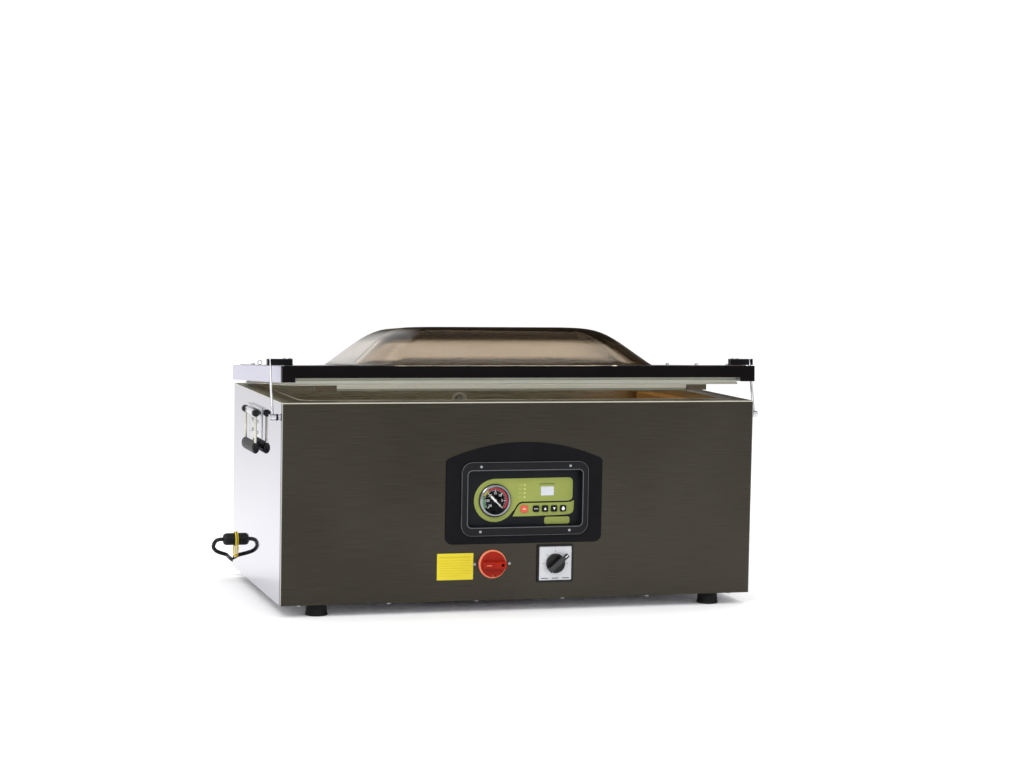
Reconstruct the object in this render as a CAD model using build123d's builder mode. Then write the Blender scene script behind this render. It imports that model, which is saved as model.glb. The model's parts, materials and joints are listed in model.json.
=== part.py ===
"""Chamber vacuum sealer: a steel cabinet with a sunken chamber, a hinged clear lid and a front control panel.

Millimetres. +X is to the operator's right, the front faces -Y and +Z is up. The origin is on the
standing surface under the middle of the cabinet. Lid pieces are drawn with the lid shut and are then
turned open about the hinge by the angle at which the unloaded lid stands.
"""
import os
from math import cos, pi, radians, sin, tan

from build123d import *

os.makedirs("parts", exist_ok=True)

# Cabinet
BODY_W = 930.0
BODY_D = 508.0
BODY_H = 376.0
SKIN = 2.0
FOOT_H = 23.0
FOOT_R = 21.0
FOOT_INSET = (75.0, 31.0)
OUT_REACH = 24.0
SCREW_HEAD_R = 4.0
SCREW_HEAD_H = 3.0
SCREW_R = 2.0
SCREW_PLAY = 0.3

LEFT, RIGHT = -BODY_W / 2, BODY_W / 2
FRONT, BACK = -BODY_D / 2, BODY_D / 2
BASE = FOOT_H
TOP = FOOT_H + BODY_H
SIDES = (-1, 1)

# Chamber
RIM_SIDE = 45.0
RIM_FRONT = 48.0
RIM_BACK = 45.0
TUB_DEPTH = 150.0
TUB_WALL = 2.0
TUB_CORNER = 30.0
PORT_X = -2.0
PORT_DROP = 33.0
PORT_R = 16.0

TUB_LEFT, TUB_RIGHT = LEFT + RIM_SIDE, RIGHT - RIM_SIDE
TUB_FRONT, TUB_BACK = FRONT + RIM_FRONT, BACK - RIM_BACK
TUB_FLOOR = TOP - TUB_DEPTH

# Lid, shut
HINGE_OUT = 14.0
HINGE_UP = 15.0
LID_AJAR = 3.46
LID_OPEN = 55.0
LID_GAP = 6.0
LID_DROP = 30.0
LID_TAIL = 20.0
WEB = 8.0
FRONT_BAR_H = 22.0
FRONT_BAR_T = 14.0
FRONT_LIP = 2.0
REAR_BAR_T = 12.0
REAR_BAR_PLAY = 2.0
PLATE_T = 10.0
PLATE_PROUD = 1.5
DOME_W, DOME_D, DOME_H = 613.0, 370.0, 74.0
DOME_TOP_W, DOME_TOP_D = 421.0, 190.0
DOME_WALL = 6.0
DOME_FROM_FRONT = 265.0
GASKET_INSET = 15.0
GASKET_FRONT = 25.0
GASKET_BACK = 16.0
GASKET_W = 18.0
GASKET_LIP = 3.7
GASKET_CLEAR = 0.3
HOLDER_W = 10.0

HINGE_Y = BACK + HINGE_OUT
HINGE_Z = TOP + HINGE_UP
LID_TOP = TOP + LID_GAP + LID_DROP
PLATE_TOP = LID_TOP + PLATE_PROUD
PLATE_BASE = PLATE_TOP - PLATE_T
HINGE_AXIS = Axis((0, HINGE_Y, HINGE_Z), (-1, 0, 0))

# Sealing
BAR_LENGTH = 698.0
BLOCK_LENGTH = 42.0
BAR_FROM_FRONT = 75.0
BAR_W = 26.0
BAR_H = 24.0
BAR_LIFT = 10.0
TAPE_T = 2.0
COUNTER_W = 18.0
COUNTER_DIP = 11.0
STRIP_H = 4.0
LIFT_ROD_R = 6.0
LIFT_X = 260.0
CYLINDER_R = 20.0
CYLINDER_H = 62.0
RUNNING_FIT = 0.05
SEAL_GAP = 0.3
FILLER_W = 40.0
FILLER_HIGH, FILLER_LOW = 12.0, 15.0

BAR_Y = FRONT + BAR_FROM_FRONT
COUNTER_BASE = TOP - COUNTER_DIP
BAR_TOP = COUNTER_BASE - SEAL_GAP - BAR_LIFT
BAR_HALF = BAR_LENGTH / 2 + BLOCK_LENGTH

# Control panel
PANEL_X = 2.0
WINDOW_W, WINDOW_H = 226.0, 107.0
WINDOW_UP = 193.0
FRAME_W, FRAME_H = 249.0, 138.5
FRAME_T = 5.0
SLEEVE_T = 3.0
RECESS = 8.0
OVERLAY_T = 2.0
BEZEL_W = 308.0
BEZEL_LOW, BEZEL_SHOULDER, BEZEL_CROWN = 107.5, 267.0, 299.5
BEZEL_T = 4.0
FRAME_SCREW_X, FRAME_SCREW_Z = 88.0, 61.5

WINDOW_Z = BASE + WINDOW_UP
OVERLAY_Y = FRONT + RECESS

# Gauge and buttons, placed from the window's centre
GAUGE_X, GAUGE_Z = -56.0, -4.5
GAUGE_CASE_R = 29.0
GAUGE_RING_R = 32.0
GAUGE_FACE_R = 26.0
GAUGE_CASE_L = 34.0
NEEDLE_LONG, NEEDLE_TAIL = 22.0, 11.0
NEEDLE_REST = -45.0
BUTTON_Z = -21.5
BUTTON_XS = (2.0, 25.5, 43.5, 61.5, 79.5)
BUTTON_NAMES = ("button_stop", "button_set", "button_up", "button_down", "button_hand")
BUTTON_SIZES = (14.0, 12.5, 12.5, 12.5, 12.5)
BUTTON_TRAVEL = 1.0
BUTTON_PROUD = 2.2
BUTTON_STEM = 6.0

# Rotary switches
MAIN_X, MAIN_UP, MAIN_R = -59.2, 69.0, 24.0
COLLAR_R = 27.0
MAIN_SCREW_OUT = 34.0
SELECTOR_X, SELECTOR_UP, SELECTOR_R = 65.2, 67.5, 18.6
SELECTOR_PLATE = 70.0
SELECTOR_FRAME_T = 3.0
KNOB_SHAFT_R = 5.0
KNOB_GAP = 0.5

# Hold-down rods
ROD_R = 2.5
ROD_OUT = 12.5
ROD_PIN_Y, ROD_PIN_DOWN = 28.0, 28.5
ROD_LENGTH = 109.5
ROD_LEAN = 16.2
EYE_R, EYE_T = 6.5, 6.0
PIVOT_R = 3.0
SPACER_R = 5.5
EYE_PLAY = 0.2
KEEPER_H = 12.0
KEEPER_IN = 29.0
KEEPER_OUT = 17.5
KEEPER_Y = 49.0
KEEPER_D = 14.5
NOTCH_D = 10.5
NOTCH_PLAY = 0.7

# Carry handles
HANDLE_Y = 262.5
HANDLE_SPAN = 109.0
HANDLE_PLATE = (130.0, 60.0)
HANDLE_UP = 321.0
BAIL_R = 3.0
BAIL_UP = 340.0
BAIL_OUT = 10.6
BAIL_DROP = 67.0
GRIP_H, GRIP_T = 23.0, 15.0
LUG_GAP = 0.5

# Hinges
HINGE_X = 300.0
PIN_R = 4.0
EAR_R = OUT_REACH - HINGE_OUT
EAR_T = 6.0
EAR_SPREAD = 26.0
ARM_W = 20.0
ARM_R = 8.0
BRACKET_T = 4.0
SPRING_R = 7.0
SPRING_GAP = 0.5

# Mains lead
CORD_D = 8.0
CORD_R = CORD_D / 2
GLAND_Y, GLAND_UP = 221.0, 60.0
GLAND_LENGTH = 26.0
COIL_AT = (-265.0, 345.0)
COIL_MEAN = 46.0
COIL_TURNS = 5
COIL_WIDE, COIL_HIGH = 3, 2
PLUG_BODY = (40.0, 27.0, 20.0)
TIE_W, TIE_T = 3.5, 1.3


def block(x, y, z, mode=Mode.ADD):
    """Add a box between a pair of limits along each axis."""
    with Locations(((x[0] + x[1]) / 2, (y[0] + y[1]) / 2, (z[0] + z[1]) / 2)):
        Box(x[1] - x[0], y[1] - y[0], z[1] - z[0], mode=mode)


def round_x(x, y, z, radius, mode=Mode.ADD):
    """Add a cylinder along X between two limits."""
    with Locations(((x[0] + x[1]) / 2, y, z)):
        Cylinder(radius, abs(x[1] - x[0]), rotation=(0, 90, 0), mode=mode)


def round_y(x, y, z, radius, mode=Mode.ADD):
    """Add a cylinder along Y between two limits."""
    with Locations((x, (y[0] + y[1]) / 2, z)):
        Cylinder(radius, abs(y[1] - y[0]), rotation=(90, 0, 0), mode=mode)


def round_z(x, y, z, radius, mode=Mode.ADD):
    """Add a cylinder along Z between two limits."""
    with Locations((x, y, (z[0] + z[1]) / 2)):
        Cylinder(radius, abs(z[1] - z[0]), mode=mode)


def save(builder, name):
    """Label a finished piece and write its file."""
    builder.part.label = name
    export_step(builder.part, f"parts/{name}.step")


def save_on_lid(builder, name):
    """Turn a piece of the shut lid to the lid's resting angle, label it and write its file."""
    piece = builder.part.rotate(HINGE_AXIS, LID_AJAR)
    piece.label = name
    export_step(piece, f"parts/{name}.step")


def front_plane(y):
    """A plane facing the operator, with its X to the right and its Y up."""
    return Plane(origin=(0, y, 0), x_dir=(1, 0, 0), z_dir=(0, -1, 0))


# Cabinet shell

BASE_SCREW_PITCH = (BODY_W - 75.0) / 5
BASE_SCREW_XS = [LEFT + 37.5 + BASE_SCREW_PITCH * i for i in range(6)]
BASE_SCREW_Y = FRONT + 12.0
SIDE_SCREW_YS = (FRONT + 205.0, FRONT + 387.0, BACK - 21.0)
SIDE_SCREW_IN = 17.0
BASE_SCREWS = [(x, BASE_SCREW_Y) for x in BASE_SCREW_XS]
BASE_SCREWS += [(side * (RIGHT - SIDE_SCREW_IN), y) for side in SIDES for y in SIDE_SCREW_YS]
BASE_T = 3.0
SLEEVE_W, SLEEVE_H = WINDOW_W + 2 * SLEEVE_T, WINDOW_H + 2 * SLEEVE_T
FRAME_SCREWS = [
    (PANEL_X + sx * FRAME_SCREW_X, WINDOW_Z + sz * FRAME_SCREW_Z) for sx in SIDES for sz in SIDES
]
MAIN_Z = BASE + MAIN_UP
SELECTOR_Z = BASE + SELECTOR_UP
MAIN_SCREWS = [(MAIN_X + side * MAIN_SCREW_OUT, MAIN_Z) for side in SIDES]
SHELL_TOP = TOP - SKIN

with BuildPart() as front_panel:
    block((LEFT, RIGHT), (FRONT, FRONT + SKIN), (BASE, SHELL_TOP))
    block(
        (PANEL_X - SLEEVE_W / 2, PANEL_X + SLEEVE_W / 2),
        (FRONT, FRONT + SKIN),
        (WINDOW_Z - SLEEVE_H / 2, WINDOW_Z + SLEEVE_H / 2),
        Mode.SUBTRACT,
    )
    for knob_x, knob_z in ((MAIN_X, MAIN_Z), (SELECTOR_X, SELECTOR_Z)):
        round_y(knob_x, (FRONT, FRONT + SKIN), knob_z, KNOB_SHAFT_R + KNOB_GAP, Mode.SUBTRACT)
    for screw_x, screw_z in FRAME_SCREWS + MAIN_SCREWS:
        round_y(screw_x, (FRONT, FRONT + SKIN), screw_z, SCREW_R + SCREW_PLAY, Mode.SUBTRACT)
    fillet(front_panel.edges().filter_by(Axis.Z).group_by(Axis.Y)[0].filter_by(
        lambda e: abs(abs(e.center().X) - RIGHT) < 1), SKIN * 0.6)
save(front_panel, "front_panel")

GLAND_Z = BASE + GLAND_UP
GLAND_SHANK_R = 8.0
ROD_PIN = (FRONT + ROD_PIN_Y, TOP - ROD_PIN_DOWN)
for side, side_name in zip(SIDES, ("left", "right")):
    with BuildPart() as side_panel:
        outer = side * RIGHT
        block(sorted((outer, outer - side * SKIN)), (FRONT + SKIN, BACK - SKIN), (BASE, SHELL_TOP))
        round_x((outer, outer - side * SKIN), *ROD_PIN, PIVOT_R + SCREW_PLAY, Mode.SUBTRACT)
        if side < 0:
            round_x((outer, outer + SKIN), GLAND_Y, GLAND_Z, GLAND_SHANK_R + SCREW_PLAY, Mode.SUBTRACT)
    save(side_panel, f"side_panel_{side_name}")

VENT_ROWS, VENT_COLUMNS = 5, 4
VENT_W, VENT_H = 60.0, 5.0
VENT_PITCH = (90.0, 16.0)
with BuildPart() as back_panel:
    block((LEFT, RIGHT), (BACK - SKIN, BACK), (BASE, SHELL_TOP))
    with BuildSketch(front_plane(BACK)) as vents:
        with Locations((0, BASE + 110.0)):
            with GridLocations(*VENT_PITCH, VENT_COLUMNS, VENT_ROWS):
                SlotOverall(VENT_W, VENT_H)
    extrude(amount=SKIN, mode=Mode.SUBTRACT)
save(back_panel, "back_panel")

PUMP_SUMP_X = (LEFT + 300.0, LEFT + 530.0)
SUMP_H = 10.0
with BuildPart() as base_pan:
    block((LEFT + SKIN, RIGHT - SKIN), (FRONT + SKIN, BACK - SKIN), (BASE, BASE + BASE_T))
    block(PUMP_SUMP_X, (FRONT + 70.0, BACK - 90.0), (BASE - SUMP_H, BASE + BASE_T))
    block(
        (PUMP_SUMP_X[0] + BASE_T, PUMP_SUMP_X[1] - BASE_T),
        (FRONT + 70.0 + BASE_T, BACK - 90.0 - BASE_T),
        (BASE - SUMP_H + BASE_T, BASE + BASE_T),
        Mode.SUBTRACT,
    )
    for screw_x, screw_y in BASE_SCREWS:
        round_z(screw_x, screw_y, (BASE, BASE + BASE_T), SCREW_R + SCREW_PLAY, Mode.SUBTRACT)
save(base_pan, "base_pan")

with BuildPart() as top_deck:
    block((LEFT, RIGHT), (FRONT, BACK), (SHELL_TOP, TOP))
    with BuildSketch(Plane.XY.offset(SHELL_TOP)) as deck_hole:
        with Locations(((TUB_LEFT + TUB_RIGHT) / 2, (TUB_FRONT + TUB_BACK) / 2)):
            RectangleRounded(
                TUB_RIGHT - TUB_LEFT + 2 * TUB_WALL,
                TUB_BACK - TUB_FRONT + 2 * TUB_WALL,
                TUB_CORNER + TUB_WALL,
            )
    extrude(amount=SKIN, mode=Mode.SUBTRACT)
save(top_deck, "top_deck")

PORT_Z = TOP - PORT_DROP
with BuildPart() as chamber_tub:
    with BuildSketch(Plane.XY.offset(TUB_FLOOR - TUB_WALL)) as tub_outside:
        with Locations(((TUB_LEFT + TUB_RIGHT) / 2, (TUB_FRONT + TUB_BACK) / 2)):
            RectangleRounded(
                TUB_RIGHT - TUB_LEFT + 2 * TUB_WALL,
                TUB_BACK - TUB_FRONT + 2 * TUB_WALL,
                TUB_CORNER + TUB_WALL,
            )
    extrude(amount=TUB_DEPTH + TUB_WALL)
    with BuildSketch(Plane.XY.offset(TUB_FLOOR)) as tub_inside:
        with Locations(((TUB_LEFT + TUB_RIGHT) / 2, (TUB_FRONT + TUB_BACK) / 2)):
            RectangleRounded(TUB_RIGHT - TUB_LEFT, TUB_BACK - TUB_FRONT, TUB_CORNER)
    extrude(amount=TUB_DEPTH, mode=Mode.SUBTRACT)
    round_y(PORT_X, (TUB_BACK, TUB_BACK + TUB_WALL), PORT_Z, PORT_R * 0.6, Mode.SUBTRACT)
save(chamber_tub, "chamber_tub")

FEET = [(sx * (RIGHT - FOOT_INSET[0]), sy * (BACK - FOOT_INSET[1])) for sx in SIDES for sy in SIDES]
with BuildPart() as feet:
    with BuildSketch(Plane.XY) as foot_soles:
        with Locations(*FEET):
            Circle(FOOT_R)
    extrude(amount=FOOT_H, taper=3)
save(feet, "feet")

with BuildPart() as cabinet_screws:
    for screw_x, screw_y in BASE_SCREWS:
        round_z(screw_x, screw_y, (BASE - SCREW_HEAD_H, BASE), SCREW_HEAD_R)
        round_z(screw_x, screw_y, (BASE, BASE + BASE_T + SCREW_PLAY), SCREW_R)
    for screw_x, screw_z in FRAME_SCREWS:
        frame_face = FRONT - BEZEL_T - FRAME_T
        round_y(screw_x, (frame_face - SCREW_HEAD_H / 2, frame_face), screw_z, SCREW_HEAD_R * 0.8)
        round_y(screw_x, (frame_face, FRONT + SKIN + 1.0), screw_z, SCREW_R)
    for screw_x, screw_z in MAIN_SCREWS:
        round_y(screw_x, (FRONT - SCREW_HEAD_H / 2, FRONT), screw_z, SCREW_HEAD_R * 0.8)
        round_y(screw_x, (FRONT, FRONT + SKIN + 1.0), screw_z, SCREW_R)
save(cabinet_screws, "cabinet_screws")

with BuildPart() as port_fitting:
    round_y(PORT_X, (TUB_BACK - 6.0, TUB_BACK), PORT_Z, PORT_R)
    round_y(PORT_X, (TUB_BACK, TUB_BACK + 24.0), PORT_Z, PORT_R * 0.6 - SCREW_PLAY)
    with BuildSketch(front_plane(TUB_BACK - 6.0)) as port_hex:
        with Locations((PORT_X, PORT_Z)):
            RegularPolygon(PORT_R * 0.62, 6)
    extrude(amount=5.0)
    round_y(PORT_X, (TUB_BACK - 11.0, TUB_BACK - 5.0), PORT_Z, PORT_R * 0.3, Mode.SUBTRACT)
save(port_fitting, "port_fitting")

FILLER_Y = (BAR_Y + BAR_W, TUB_BACK - TUB_CORNER)
with BuildPart() as filler_board:
    with BuildSketch(Plane.YZ.offset(TUB_RIGHT - 2.0 - FILLER_W)) as filler_side:
        with BuildLine() as filler_outline:
            Polyline(
                (FILLER_Y[0], TUB_FLOOR),
                (FILLER_Y[1], TUB_FLOOR),
                (FILLER_Y[1], TOP - FILLER_LOW),
                (FILLER_Y[0], TOP - FILLER_HIGH),
                close=True,
            )
        make_face()
    extrude(amount=FILLER_W)
    fillet(filler_board.edges().filter_by(Axis.Z), TUB_CORNER / 6)
save(filler_board, "filler_board")

# Control panel

with BuildPart() as bezel:
    with BuildSketch(front_plane(FRONT)) as bezel_face:
        with BuildLine() as bezel_outline:
            bezel_x = (PANEL_X - BEZEL_W / 2, PANEL_X + BEZEL_W / 2)
            Line((bezel_x[0], BASE + BEZEL_SHOULDER), (bezel_x[0], BASE + BEZEL_LOW))
            Line((bezel_x[0], BASE + BEZEL_LOW), (bezel_x[1], BASE + BEZEL_LOW))
            Line((bezel_x[1], BASE + BEZEL_LOW), (bezel_x[1], BASE + BEZEL_SHOULDER))
            ThreePointArc(
                (bezel_x[1], BASE + BEZEL_SHOULDER),
                (PANEL_X, BASE + BEZEL_CROWN),
                (bezel_x[0], BASE + BEZEL_SHOULDER),
            )
        make_face()
        fillet(bezel_face.vertices().group_by(Axis.Y)[0], 14.0)
        fillet(bezel_face.vertices().group_by(Axis.Y)[-1], 9.0)
        with Locations((PANEL_X, WINDOW_Z)):
            Rectangle(SLEEVE_W, SLEEVE_H, mode=Mode.SUBTRACT)
        with Locations(*FRAME_SCREWS):
            Circle(SCREW_R + SCREW_PLAY, mode=Mode.SUBTRACT)
    extrude(amount=BEZEL_T)
    chamfer(bezel.faces().sort_by(Axis.Y)[0].outer_wire().edges(), 0.8)
save(bezel, "bezel")

with BuildPart() as window_frame:
    with BuildSketch(front_plane(FRONT - BEZEL_T)) as frame_face:
        with Locations((PANEL_X, WINDOW_Z)):
            RectangleRounded(FRAME_W, FRAME_H, 20.0)
        with Locations(*FRAME_SCREWS):
            Circle(SCREW_R + SCREW_PLAY, mode=Mode.SUBTRACT)
    extrude(amount=FRAME_T)
    fillet(window_frame.faces().sort_by(Axis.Y)[0].outer_wire().edges(), 2.5)
    block(
        (PANEL_X - SLEEVE_W / 2, PANEL_X + SLEEVE_W / 2),
        (FRONT - BEZEL_T, OVERLAY_Y),
        (WINDOW_Z - SLEEVE_H / 2, WINDOW_Z + SLEEVE_H / 2),
    )
    with BuildSketch(front_plane(OVERLAY_Y)) as window_hole:
        with Locations((PANEL_X, WINDOW_Z)):
            RectangleRounded(WINDOW_W, WINDOW_H, 8.0)
    extrude(amount=RECESS + BEZEL_T + FRAME_T, mode=Mode.SUBTRACT)
save(window_frame, "window_frame")

GAUGE = (PANEL_X + GAUGE_X, WINDOW_Z + GAUGE_Z)
BUTTONS = [
    (name, PANEL_X + x, WINDOW_Z + BUTTON_Z, size)
    for name, x, size in zip(BUTTON_NAMES, BUTTON_XS, BUTTON_SIZES)
]
STEM_R = 3.0
with BuildPart() as overlay_plate:
    block(
        (PANEL_X - SLEEVE_W / 2, PANEL_X + SLEEVE_W / 2),
        (OVERLAY_Y, OVERLAY_Y + OVERLAY_T),
        (WINDOW_Z - SLEEVE_H / 2, WINDOW_Z + SLEEVE_H / 2),
    )
    round_y(GAUGE[0], (OVERLAY_Y, OVERLAY_Y + OVERLAY_T), GAUGE[1], GAUGE_CASE_R, Mode.SUBTRACT)
    for name, x, z, size in BUTTONS:
        round_y(x, (OVERLAY_Y, OVERLAY_Y + OVERLAY_T), z, STEM_R + RUNNING_FIT, Mode.SUBTRACT)
save(overlay_plate, "overlay_plate")

for name, x, z, size in BUTTONS:
    with BuildPart() as button:
        with BuildSketch(front_plane(OVERLAY_Y - BUTTON_TRAVEL - 0.1)) as button_face:
            with Locations((x, z)):
                RectangleRounded(size, size, 2.5)
        extrude(amount=BUTTON_PROUD)
        fillet(button.faces().sort_by(Axis.Y)[0].edges(), 0.6)
        round_y(x, (OVERLAY_Y - BUTTON_TRAVEL - 0.1, OVERLAY_Y + BUTTON_STEM), z, STEM_R)
    save(button, name)

GAUGE_FACE_Y = OVERLAY_Y - 2.5
NEEDLE_Y = GAUGE_FACE_Y - 1.6
LENS_Y = GAUGE_FACE_Y - 3.6
SHAFT_R = 1.5
with BuildPart() as gauge_case:
    round_y(GAUGE[0], (GAUGE_FACE_Y, OVERLAY_Y + GAUGE_CASE_L), GAUGE[1], GAUGE_CASE_R)
    round_y(GAUGE[0], (OVERLAY_Y + GAUGE_CASE_L, OVERLAY_Y + GAUGE_CASE_L + 14.0), GAUGE[1], 6.5)
    round_y(
        GAUGE[0], (GAUGE_FACE_Y, GAUGE_FACE_Y + 8.0), GAUGE[1], SHAFT_R + RUNNING_FIT, Mode.SUBTRACT
    )
save(gauge_case, "gauge_case")

with BuildPart() as gauge_ring:
    round_y(GAUGE[0], (LENS_Y - 1.4, OVERLAY_Y), GAUGE[1], GAUGE_RING_R)
    fillet(gauge_ring.faces().sort_by(Axis.Y)[0].edges(), 1.8)
    round_y(GAUGE[0], (GAUGE_FACE_Y, OVERLAY_Y), GAUGE[1], GAUGE_CASE_R, Mode.SUBTRACT)
    round_y(GAUGE[0], (LENS_Y, GAUGE_FACE_Y), GAUGE[1], GAUGE_FACE_R + 1.0, Mode.SUBTRACT)
    round_y(GAUGE[0], (LENS_Y - 1.4, LENS_Y), GAUGE[1], GAUGE_FACE_R - 0.5, Mode.SUBTRACT)
save(gauge_ring, "gauge_ring")

with BuildPart() as gauge_lens:
    round_y(GAUGE[0], (LENS_Y, LENS_Y + 1.0), GAUGE[1], GAUGE_FACE_R + 1.0)
save(gauge_lens, "gauge_lens")

with BuildPart() as gauge_needle:
    pointing = radians(NEEDLE_REST)
    along = (cos(pointing), sin(pointing))
    with BuildSketch(front_plane(NEEDLE_Y + 0.4)) as needle_face:
        with BuildLine() as needle_outline:
            Polyline(
                (GAUGE[0] + NEEDLE_LONG * along[0], GAUGE[1] + NEEDLE_LONG * along[1]),
                (GAUGE[0] + 0.9 * along[1], GAUGE[1] - 0.9 * along[0]),
                (
                    GAUGE[0] - NEEDLE_TAIL * along[0] + 1.8 * along[1],
                    GAUGE[1] - NEEDLE_TAIL * along[1] - 1.8 * along[0],
                ),
                (
                    GAUGE[0] - NEEDLE_TAIL * along[0] - 1.8 * along[1],
                    GAUGE[1] - NEEDLE_TAIL * along[1] + 1.8 * along[0],
                ),
                (GAUGE[0] - 0.9 * along[1], GAUGE[1] + 0.9 * along[0]),
                close=True,
            )
        make_face()
        with Locations(GAUGE):
            Circle(2.6)
    extrude(amount=0.8)
    round_y(GAUGE[0], (NEEDLE_Y, GAUGE_FACE_Y + 6.0), GAUGE[1], SHAFT_R)
save(gauge_needle, "gauge_needle")

SHAFT_DEPTH = 20.0
BLOCK_SIZE = (46.0, 40.0, 46.0)
with BuildPart() as contact_blocks:
    for knob_x, knob_z in ((MAIN_X, MAIN_Z), (SELECTOR_X, SELECTOR_Z)):
        block(
            (knob_x - BLOCK_SIZE[0] / 2, knob_x + BLOCK_SIZE[0] / 2),
            (FRONT + SKIN, FRONT + SKIN + BLOCK_SIZE[1]),
            (knob_z - BLOCK_SIZE[2] / 2, knob_z + BLOCK_SIZE[2] / 2),
        )
        round_y(
            knob_x,
            (FRONT + SKIN, FRONT + SHAFT_DEPTH + 2.0),
            knob_z,
            KNOB_SHAFT_R + RUNNING_FIT,
            Mode.SUBTRACT,
        )
save(contact_blocks, "contact_blocks")

COLLAR_T = 5.0
with BuildPart() as switch_collar:
    round_y(MAIN_X, (FRONT - COLLAR_T, FRONT), MAIN_Z, COLLAR_R)
    fillet(switch_collar.faces().sort_by(Axis.Y)[0].edges(), 1.5)
    round_y(MAIN_X, (FRONT - COLLAR_T, FRONT), MAIN_Z, KNOB_SHAFT_R + KNOB_GAP, Mode.SUBTRACT)
save(switch_collar, "switch_collar")

GRIP_BAR_W = 13.0
with BuildPart() as main_knob:
    knob_back = FRONT - COLLAR_T - KNOB_GAP
    round_y(MAIN_X, (knob_back - 6.0, knob_back), MAIN_Z, MAIN_R)
    fillet(main_knob.faces().sort_by(Axis.Y)[0].edges(), 1.2)
    block(
        (MAIN_X - MAIN_R * 0.94, MAIN_X + MAIN_R * 0.94),
        (FRONT - OUT_REACH, knob_back - 6.0),
        (MAIN_Z - GRIP_BAR_W / 2, MAIN_Z + GRIP_BAR_W / 2),
    )
    fillet(main_knob.faces().sort_by(Axis.Y)[0].edges(), 1.5)
    round_y(MAIN_X + MAIN_R * 0.62, (FRONT - OUT_REACH, knob_back), MAIN_Z, 3.2, Mode.SUBTRACT)
    block(
        (MAIN_X - 2.0, MAIN_X + 2.0),
        (knob_back - 6.0, knob_back),
        (MAIN_Z - MAIN_R, MAIN_Z - MAIN_R + 5.0),
        Mode.SUBTRACT,
    )
    round_y(MAIN_X, (knob_back, FRONT + SHAFT_DEPTH), MAIN_Z, KNOB_SHAFT_R)
save(main_knob, "main_knob")

with BuildPart() as selector_plate:
    half = SELECTOR_PLATE / 2
    block(
        (SELECTOR_X - half, SELECTOR_X + half),
        (FRONT - SELECTOR_FRAME_T, FRONT),
        (SELECTOR_Z - half, SELECTOR_Z + half),
    )
    fillet(selector_plate.edges().filter_by(Axis.Y), 3.0)
    round_y(SELECTOR_X, (FRONT - SELECTOR_FRAME_T, FRONT), SELECTOR_Z, KNOB_SHAFT_R + KNOB_GAP, Mode.SUBTRACT)
save(selector_plate, "selector_plate")

SELECTOR_ANGLE = 41.0
with BuildPart() as selector_knob:
    disc_back = FRONT - SELECTOR_FRAME_T - KNOB_GAP
    round_y(SELECTOR_X, (disc_back - 5.0, disc_back), SELECTOR_Z, SELECTOR_R)
    fillet(selector_knob.faces().sort_by(Axis.Y)[0].edges(), 1.2)
    with BuildSketch(front_plane(disc_back - 5.0)) as selector_bar:
        with Locations(Location((SELECTOR_X, SELECTOR_Z), SELECTOR_ANGLE)):
            SlotOverall(2 * SELECTOR_R + 1.0, 11.0)
    extrude(amount=OUT_REACH - 5.0 - SELECTOR_FRAME_T - KNOB_GAP - 4.0)
    fillet(selector_knob.faces().sort_by(Axis.Y)[0].edges(), 1.5)
    round_y(SELECTOR_X, (disc_back, FRONT + SHAFT_DEPTH), SELECTOR_Z, KNOB_SHAFT_R)
save(selector_knob, "selector_knob")

# Chamber lift and seal bar

LIFT_XS = (-LIFT_X, LIFT_X)
with BuildPart() as lift_cylinders:
    for lift_x in LIFT_XS:
        round_z(lift_x, BAR_Y, (TUB_FLOOR, TUB_FLOOR + 6.0), CYLINDER_R + 5.0)
        round_z(lift_x, BAR_Y, (TUB_FLOOR, TUB_FLOOR + CYLINDER_H), CYLINDER_R)
        round_z(
            lift_x,
            BAR_Y,
            (TUB_FLOOR + 4.0, TUB_FLOOR + CYLINDER_H),
            LIFT_ROD_R + RUNNING_FIT,
            Mode.SUBTRACT,
        )
save(lift_cylinders, "lift_cylinders")

with BuildPart() as seal_bar:
    bar_base = BAR_TOP - TAPE_T - BAR_H
    block(
        (-BAR_LENGTH / 2, BAR_LENGTH / 2),
        (BAR_Y - BAR_W / 2, BAR_Y + BAR_W / 2),
        (bar_base, BAR_TOP - TAPE_T),
    )
    for side in SIDES:
        block(
            sorted((side * BAR_LENGTH / 2, side * BAR_HALF)),
            (BAR_Y - BAR_W / 2, BAR_Y + BAR_W / 2),
            (bar_base, BAR_TOP - TAPE_T - 3.0),
        )
    for lift_x in LIFT_XS:
        round_z(lift_x, BAR_Y, (TUB_FLOOR + 10.0, bar_base), LIFT_ROD_R)
save(seal_bar, "seal_bar")

with BuildPart() as seal_tape:
    block(
        (-BAR_LENGTH / 2, BAR_LENGTH / 2),
        (BAR_Y - BAR_W / 2 + 4.0, BAR_Y + BAR_W / 2 - 4.0),
        (BAR_TOP - TAPE_T, BAR_TOP),
    )
save(seal_tape, "seal_tape")

# Lid

with BuildPart() as lid_front_bar:
    block((LEFT, RIGHT), (FRONT - FRONT_LIP, FRONT - FRONT_LIP + FRONT_BAR_T), (LID_TOP - FRONT_BAR_H, LID_TOP))
    fillet(lid_front_bar.edges().filter_by(Axis.X), 1.2)
save_on_lid(lid_front_bar, "lid_front_bar")

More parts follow.
